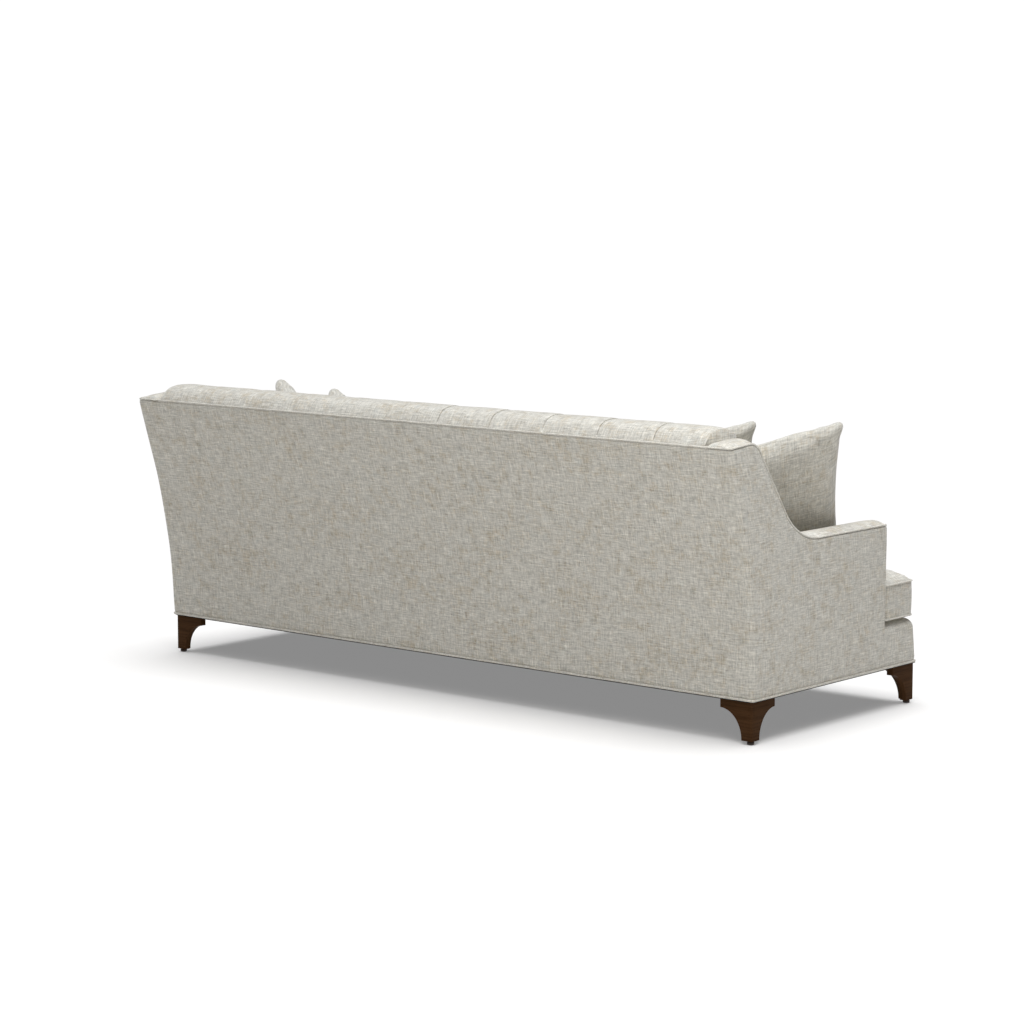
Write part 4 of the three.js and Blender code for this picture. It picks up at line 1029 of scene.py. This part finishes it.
def pillow_shape(slack, seed, slump, count=45):
    """Points, faces and cloth coordinates of a square pillow with drawn-in edges, standing in the x-z plane."""
    t = np.linspace(-1, 1, count)
    u, v = np.meshgrid(t, t, indexing="ij")
    from_corner = (1 - np.abs(u)) ** 2 + (1 - np.abs(v)) ** 2
    half = PILLOW / 2
    # the fill lies a little unevenly, so that no two pillows are alike
    lump = 1 + 0.06 * np.sin(2.1 * u + seed) * np.cos(1.7 * v - seed)
    depth = PILLOW_THICK / 2 * ((1 - u**2) * (1 - v**2)) ** PILLOW_FILL * lump
    # corners rounded in plan
    blunt = np.maximum(np.abs(u), np.abs(v)) / np.maximum((np.abs(u)**12 + np.abs(v)**12) ** (1 / 12), 1e-9)
    x = half * u * blunt * (1 - PILLOW_PULL * (1 - v**2))
    z = half * v * blunt * (1 - np.where(v > 0, PILLOW_PULL * (1 - u**2), PILLOW_FOOT))
    z = z - slump * (half - x) * (half + z) / PILLOW**2
    points = np.concatenate([np.stack([x, side * depth, z], -1).reshape(-1, 3) for side in (-1, 1)])
    number = np.arange(count * count).reshape(count, count)
    rim = (np.abs(u) == 1) | (np.abs(v) == 1)
    back = number + count * count
    back[rim] = number[rim]
    cloth = np.stack([half * u, half * v], -1)
    flat = np.stack([cloth[:-1, :-1], cloth[1:, :-1], cloth[1:, 1:], cloth[:-1, 1:]], -2).reshape(-1, 4, 2)
    sides = [np.stack([ids[:-1, :-1], ids[1:, :-1], ids[1:, 1:], ids[:-1, 1:]], -1).reshape(-1, 4)
             for ids in (number, back)]
    faces, corners = np.concatenate([sides[0], sides[1][:, ::-1]]), np.concatenate([flat, flat[:, ::-1] + PILLOW + 200])
    used, faces = np.unique(faces, return_inverse=True)
    points, faces = points[used], faces.reshape(-1, 4)
    points = settled(points, faces, slack)
    held = rim | (from_corner < EAR_HELD**2)
    loose = ~np.concatenate([held.ravel(), held.ravel()])[used]
    points[:, 1] = eased(points[:, 1], faces, loose, CREASE_ROUNDS)
    points[:, [0, 2]] *= np.ptp(x) / np.ptp(points[:, 0])
    points[:, 1] *= PILLOW_THICK / np.ptp(points[:, 1])
    # ears: short lobes beyond the drawn-in edges
    u, v, from_corner = (np.concatenate([w.ravel(), w.ravel()])[used] for w in (u, v, from_corner))
    lobe = PILLOW_EAR * np.exp(-((from_corner / EAR_REACH**2) ** 2))
    ears = np.column_stack([lobe * np.sign(u), 0 * lobe, lobe * (v > 0)])
    # shoulders between the middle of the upper edge and its ears
    ears[:, 2] += PILLOW_SHOULDER * np.exp(-(((np.abs(u) - 0.42) / 0.26) ** 2)) * np.maximum(v, 0) ** 3
    # each ear ends round, not in a point
    for side in (-1, 1):
        reach = ((points + ears) @ (side, 0, 1)) / math.sqrt(2)
        over = np.maximum(reach - (reach.max() - EAR_END), 0)
        trim = (over - EAR_ROUND * np.tanh(over / EAR_ROUND)) / math.sqrt(2)
        ears -= trim[:, None] * (side, 0, 1)
    return points, ears, faces, corners


def turned(points, lean, turn, roll):
    """Points rolled about y, then leant about x, then turned about z."""
    c, s = math.cos(roll), math.sin(roll)
    points = np.column_stack([points[:, 0] * c - points[:, 2] * s, points[:, 1], points[:, 0] * s + points[:, 2] * c])
    c, s = math.cos(lean), math.sin(lean)
    y, z = points[:, 1] * c - points[:, 2] * s, points[:, 1] * s + points[:, 2] * c
    c, s = math.cos(turn), math.sin(turn)
    return np.column_stack([points[:, 0] * c - y * s, points[:, 0] * s + y * c, z])


def throw_pillow(name, lean, turn, roll, slump, slack, seed):
    """Both pillows of one kind, at their CAD places and resting on the crown of the cushions."""
    points, ears, faces, corners = pillow_shape(slack, seed, slump)
    points, ears = (turned(p, -math.radians(lean), -math.radians(turn), math.radians(roll)) for p in (points, ears))
    low, high = ((np.array(v) - (0, REAR_EDGE, 0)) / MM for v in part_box(f"{name}_right"))
    points += (low + high) / 2 - (points.min(0) + points.max(0)) / 2 + ears
    tree = BVHTree.FromObject(cushions["right"], bpy.context.evaluated_depsgraph_get())
    for k, p in enumerate(placed(points)):
        hit = tree.ray_cast(Vector((p[0], p[1], 2.0)), Vector((0, 0, -1)))[0]
        if hit is not None:
            points[k, 2] = max(points[k, 2], hit.z / MM + REST_CLEARANCE)
    for side_name, flip in SIDES:
        mesh = mesh_of(f"{name}_cover", flip([(points, faces, corners)]), crease=75)
        piece = show(f"{name}_cover_{side_name}", mesh, pillow_cloth, "pillow", f"{side_name}_{name}",
                     (f"{name}_{side_name}",))
        finer = piece.modifiers.new("finer", "SUBSURF")
        finer.levels = finer.render_levels = 1


throw_pillow("outer_pillow", 24, 42, 3.2, 105, 0.015, 0.4)
throw_pillow("inner_pillow", 22, 41, 0.4, 106, 0.02, 2.3)


# Bracket feet
def bracket(outline, mitre):
    """One board of the foot: its outline on the outer face and, mitred, on the inner face."""
    outer = at_height(outline, 0.0)[:, [0, 2, 1]]
    inner = outer.copy()
    inner[:, 1] = LEG_BOARD
    inner[inner[:, 0] < 1, 0] = mitre
    return outer, inner


def bracket_leg():
    foot = GLIDE_HEIGHT + GAP
    hollow = LEG_TOP - LEG_DROP
    a = quarter(33)
    curve = np.column_stack([LEG_REACH - (LEG_REACH - FOOT_WIDTH) * np.sin(a),
                             hollow - (hollow - foot) * (1 - np.cos(a))])
    outline = np.vstack([[[0, foot], [0, LEG_TOP], [LEG_REACH, LEG_TOP]], curve])
    outer, inner = bracket(outline, LEG_BOARD)
    parts = []
    count = len(outline)
    for order in ([0, 1, 2], [1, 0, 2]):
        p, q = outer[:, order], inner[:, order]
        face = np.arange(count)[None]
        parts += [(p, face, outline[None]), (q, face, outline[None])]
        k = np.arange(1, count)
        nxt = (k + 1) % count
        quads = np.stack([k, nxt, nxt + count, k + count], -1)
        run = lengths(np.vstack([outline, outline[:1]]))
        corners = np.stack([np.stack([run[at], 0 * k + across], -1)
                            for at, across in ((k, 0), (k + 1, 0), (k + 1, LEG_BOARD), (k, LEG_BOARD))], 1)
        parts.append((np.vstack([p, q]), quads, corners))
    return parts


def glide():
    turn = circle(28)
    profile = [(7.5, 0), (9.6, 0.5), (10.7, 1.8), (11, 3.6), (11, 7.4), (10.2, 8.6), (7.2, 9.4), (7.2, GLIDE_HEIGHT)]
    spokes = np.column_stack([[math.cos(t) for t in turn], [math.sin(t) for t in turn]])
    return loft([at_height(r * spokes + GLIDE_PLACE, z) for r, z in profile])


def softened(mesh, width, segments=3):
    """Rounds a mesh's sharp edges a little."""
    build = bmesh.new()
    build.from_mesh(mesh)
    sharp = [e for e in build.edges if len(e.link_faces) == 2 and e.calc_face_angle(0) > math.radians(25)]
    bmesh.ops.bevel(build, geom=sharp, offset=width * MM, segments=segments, affect="EDGES", profile=0.6,
                    clamp_overlap=True)
    build.to_mesh(mesh)
    build.free()
    mesh.shade_smooth()
    mesh.set_sharp_from_angle(angle=math.radians(50))
    return mesh


leg_x = BASE_WIDTH / 2 - LEG_SET_IN
for row, leg_y, way in (("rear", -LEG_SET_IN, -1), ("front", FRONT_LEG_SET_IN - BASE_DEPTH, 1)):
    for side_name, sign in (("right", 1), ("left", -1)):
        for kind, make, look, slot_name in (("leg", bracket_leg, walnut, "walnut"), ("glide", glide, nylon, "glide")):
            parts = [((p * (-1, way, 1) + (leg_x, leg_y, 0)) * (sign, 1, 1), f, c) for p, f, c in make()]
            mesh = mesh_of(f"{row}_{kind}", parts)
            if kind == "leg":
                softened(mesh, 1.3)
            show(f"{row}_{kind}_{side_name}_shaped", mesh, look, slot_name, replaces=(f"{row}_{kind}_{side_name}",))


# Finishes of the frame, springs and dust cover, which keep their CAD shapes
def box_cloth(mesh):
    """Cloth coordinates for a CAD mesh, laid on along the axis that each face looks down."""
    layer = mesh.uv_layers.get("cloth") or mesh.uv_layers.new(name="cloth")
    count = len(mesh.loops)
    corner = np.empty(count, np.int32)
    mesh.loops.foreach_get("vertex_index", corner)
    points = np.empty(len(mesh.vertices) * 3, np.float32)
    mesh.vertices.foreach_get("co", points)
    points = points.reshape(-1, 3)[corner]
    normal = np.repeat([p.normal[:] for p in mesh.polygons], [p.loop_total for p in mesh.polygons], axis=0)
    axis = np.abs(normal).argmax(1)
    extent = np.ptp(points, axis=0)
    order = np.argsort(-extent)
    uv = np.empty((count, 2), np.float32)
    for k in range(3):
        first, second = [a for a in order if a != k]
        chosen = axis == k
        uv[chosen] = points[chosen][:, [first, second]]
    layer.data.foreach_set("uv", uv.ravel())


for name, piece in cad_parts.items():
    if piece.hide_render:
        continue
    box_cloth(piece.data)
    finish = spring_wire if "spring" in name else dust_cloth if "dust" in name else hardwood
    if not piece.material_slots:
        piece.data.materials.append(finish)
    for place in piece.material_slots:
        place.material = finish


# Floor, world and lights
floor_mesh = bpy.data.meshes.new("floor")
floor_mesh.from_pydata([(x, y, 0) for x, y in ((-60, -60), (60, -60), (60, 60), (-60, 60))], [], [(0, 1, 2, 3)])
floor_mesh.uv_layers.new(name="cloth")
floor = linked("floor", floor_mesh)
floor_look = Look("floor_white", Roughness=0.9, Specular_IOR_Level=0.0)
floor_look.shader.inputs["Base Color"].default_value = (0.572, 0.558, 0.540, 1)
floor_look.shader.inputs["Emission Color"].default_value = (1, 1, 1, 1)
floor_look.shader.inputs["Emission Strength"].default_value = 0.25
floor_mesh.materials.append(floor_look.material)

world = bpy.data.worlds.new("studio")
scene.world = world
world.use_nodes = True
sky = world.node_tree
surround = sky.nodes["Background"]
surround.inputs["Color"].default_value = (1, 1, 1, 1)
path = sky.nodes.new("ShaderNodeLightPath")
strength = node(sky, "ShaderNodeMapRange", {0: path.outputs["Is Camera Ray"], 1: 0.0, 2: 1.0, 3: 0.02, 4: 1.1})
sky.links.new(strength.outputs[0], surround.inputs["Strength"])


def lamp(name, kind, place, way, **settings):
    """A light at a place, shining along a direction."""
    data = bpy.data.lights.new(name, kind)
    for key, value in settings.items():
        setattr(data, key, value)
    holder = linked(name, data)
    holder.location = place
    holder.rotation_mode = "QUATERNION"
    holder.rotation_quaternion = Vector(way).to_track_quat("-Z", "Y")


lamp("overhead", "SUN", (0, 0, 0), (0.0, -0.005, -1), energy=4.25, angle=math.radians(50), color=(0.975, 0.995, 1.03))
lamp("corner_key", "AREA", (-2.2, 1.9, 2.6), (1.1, -1.6, -2.0), shape="SQUARE", size=1.4, energy=31)
scene.view_settings.view_transform = "Standard"
scene.view_settings.look = "None"
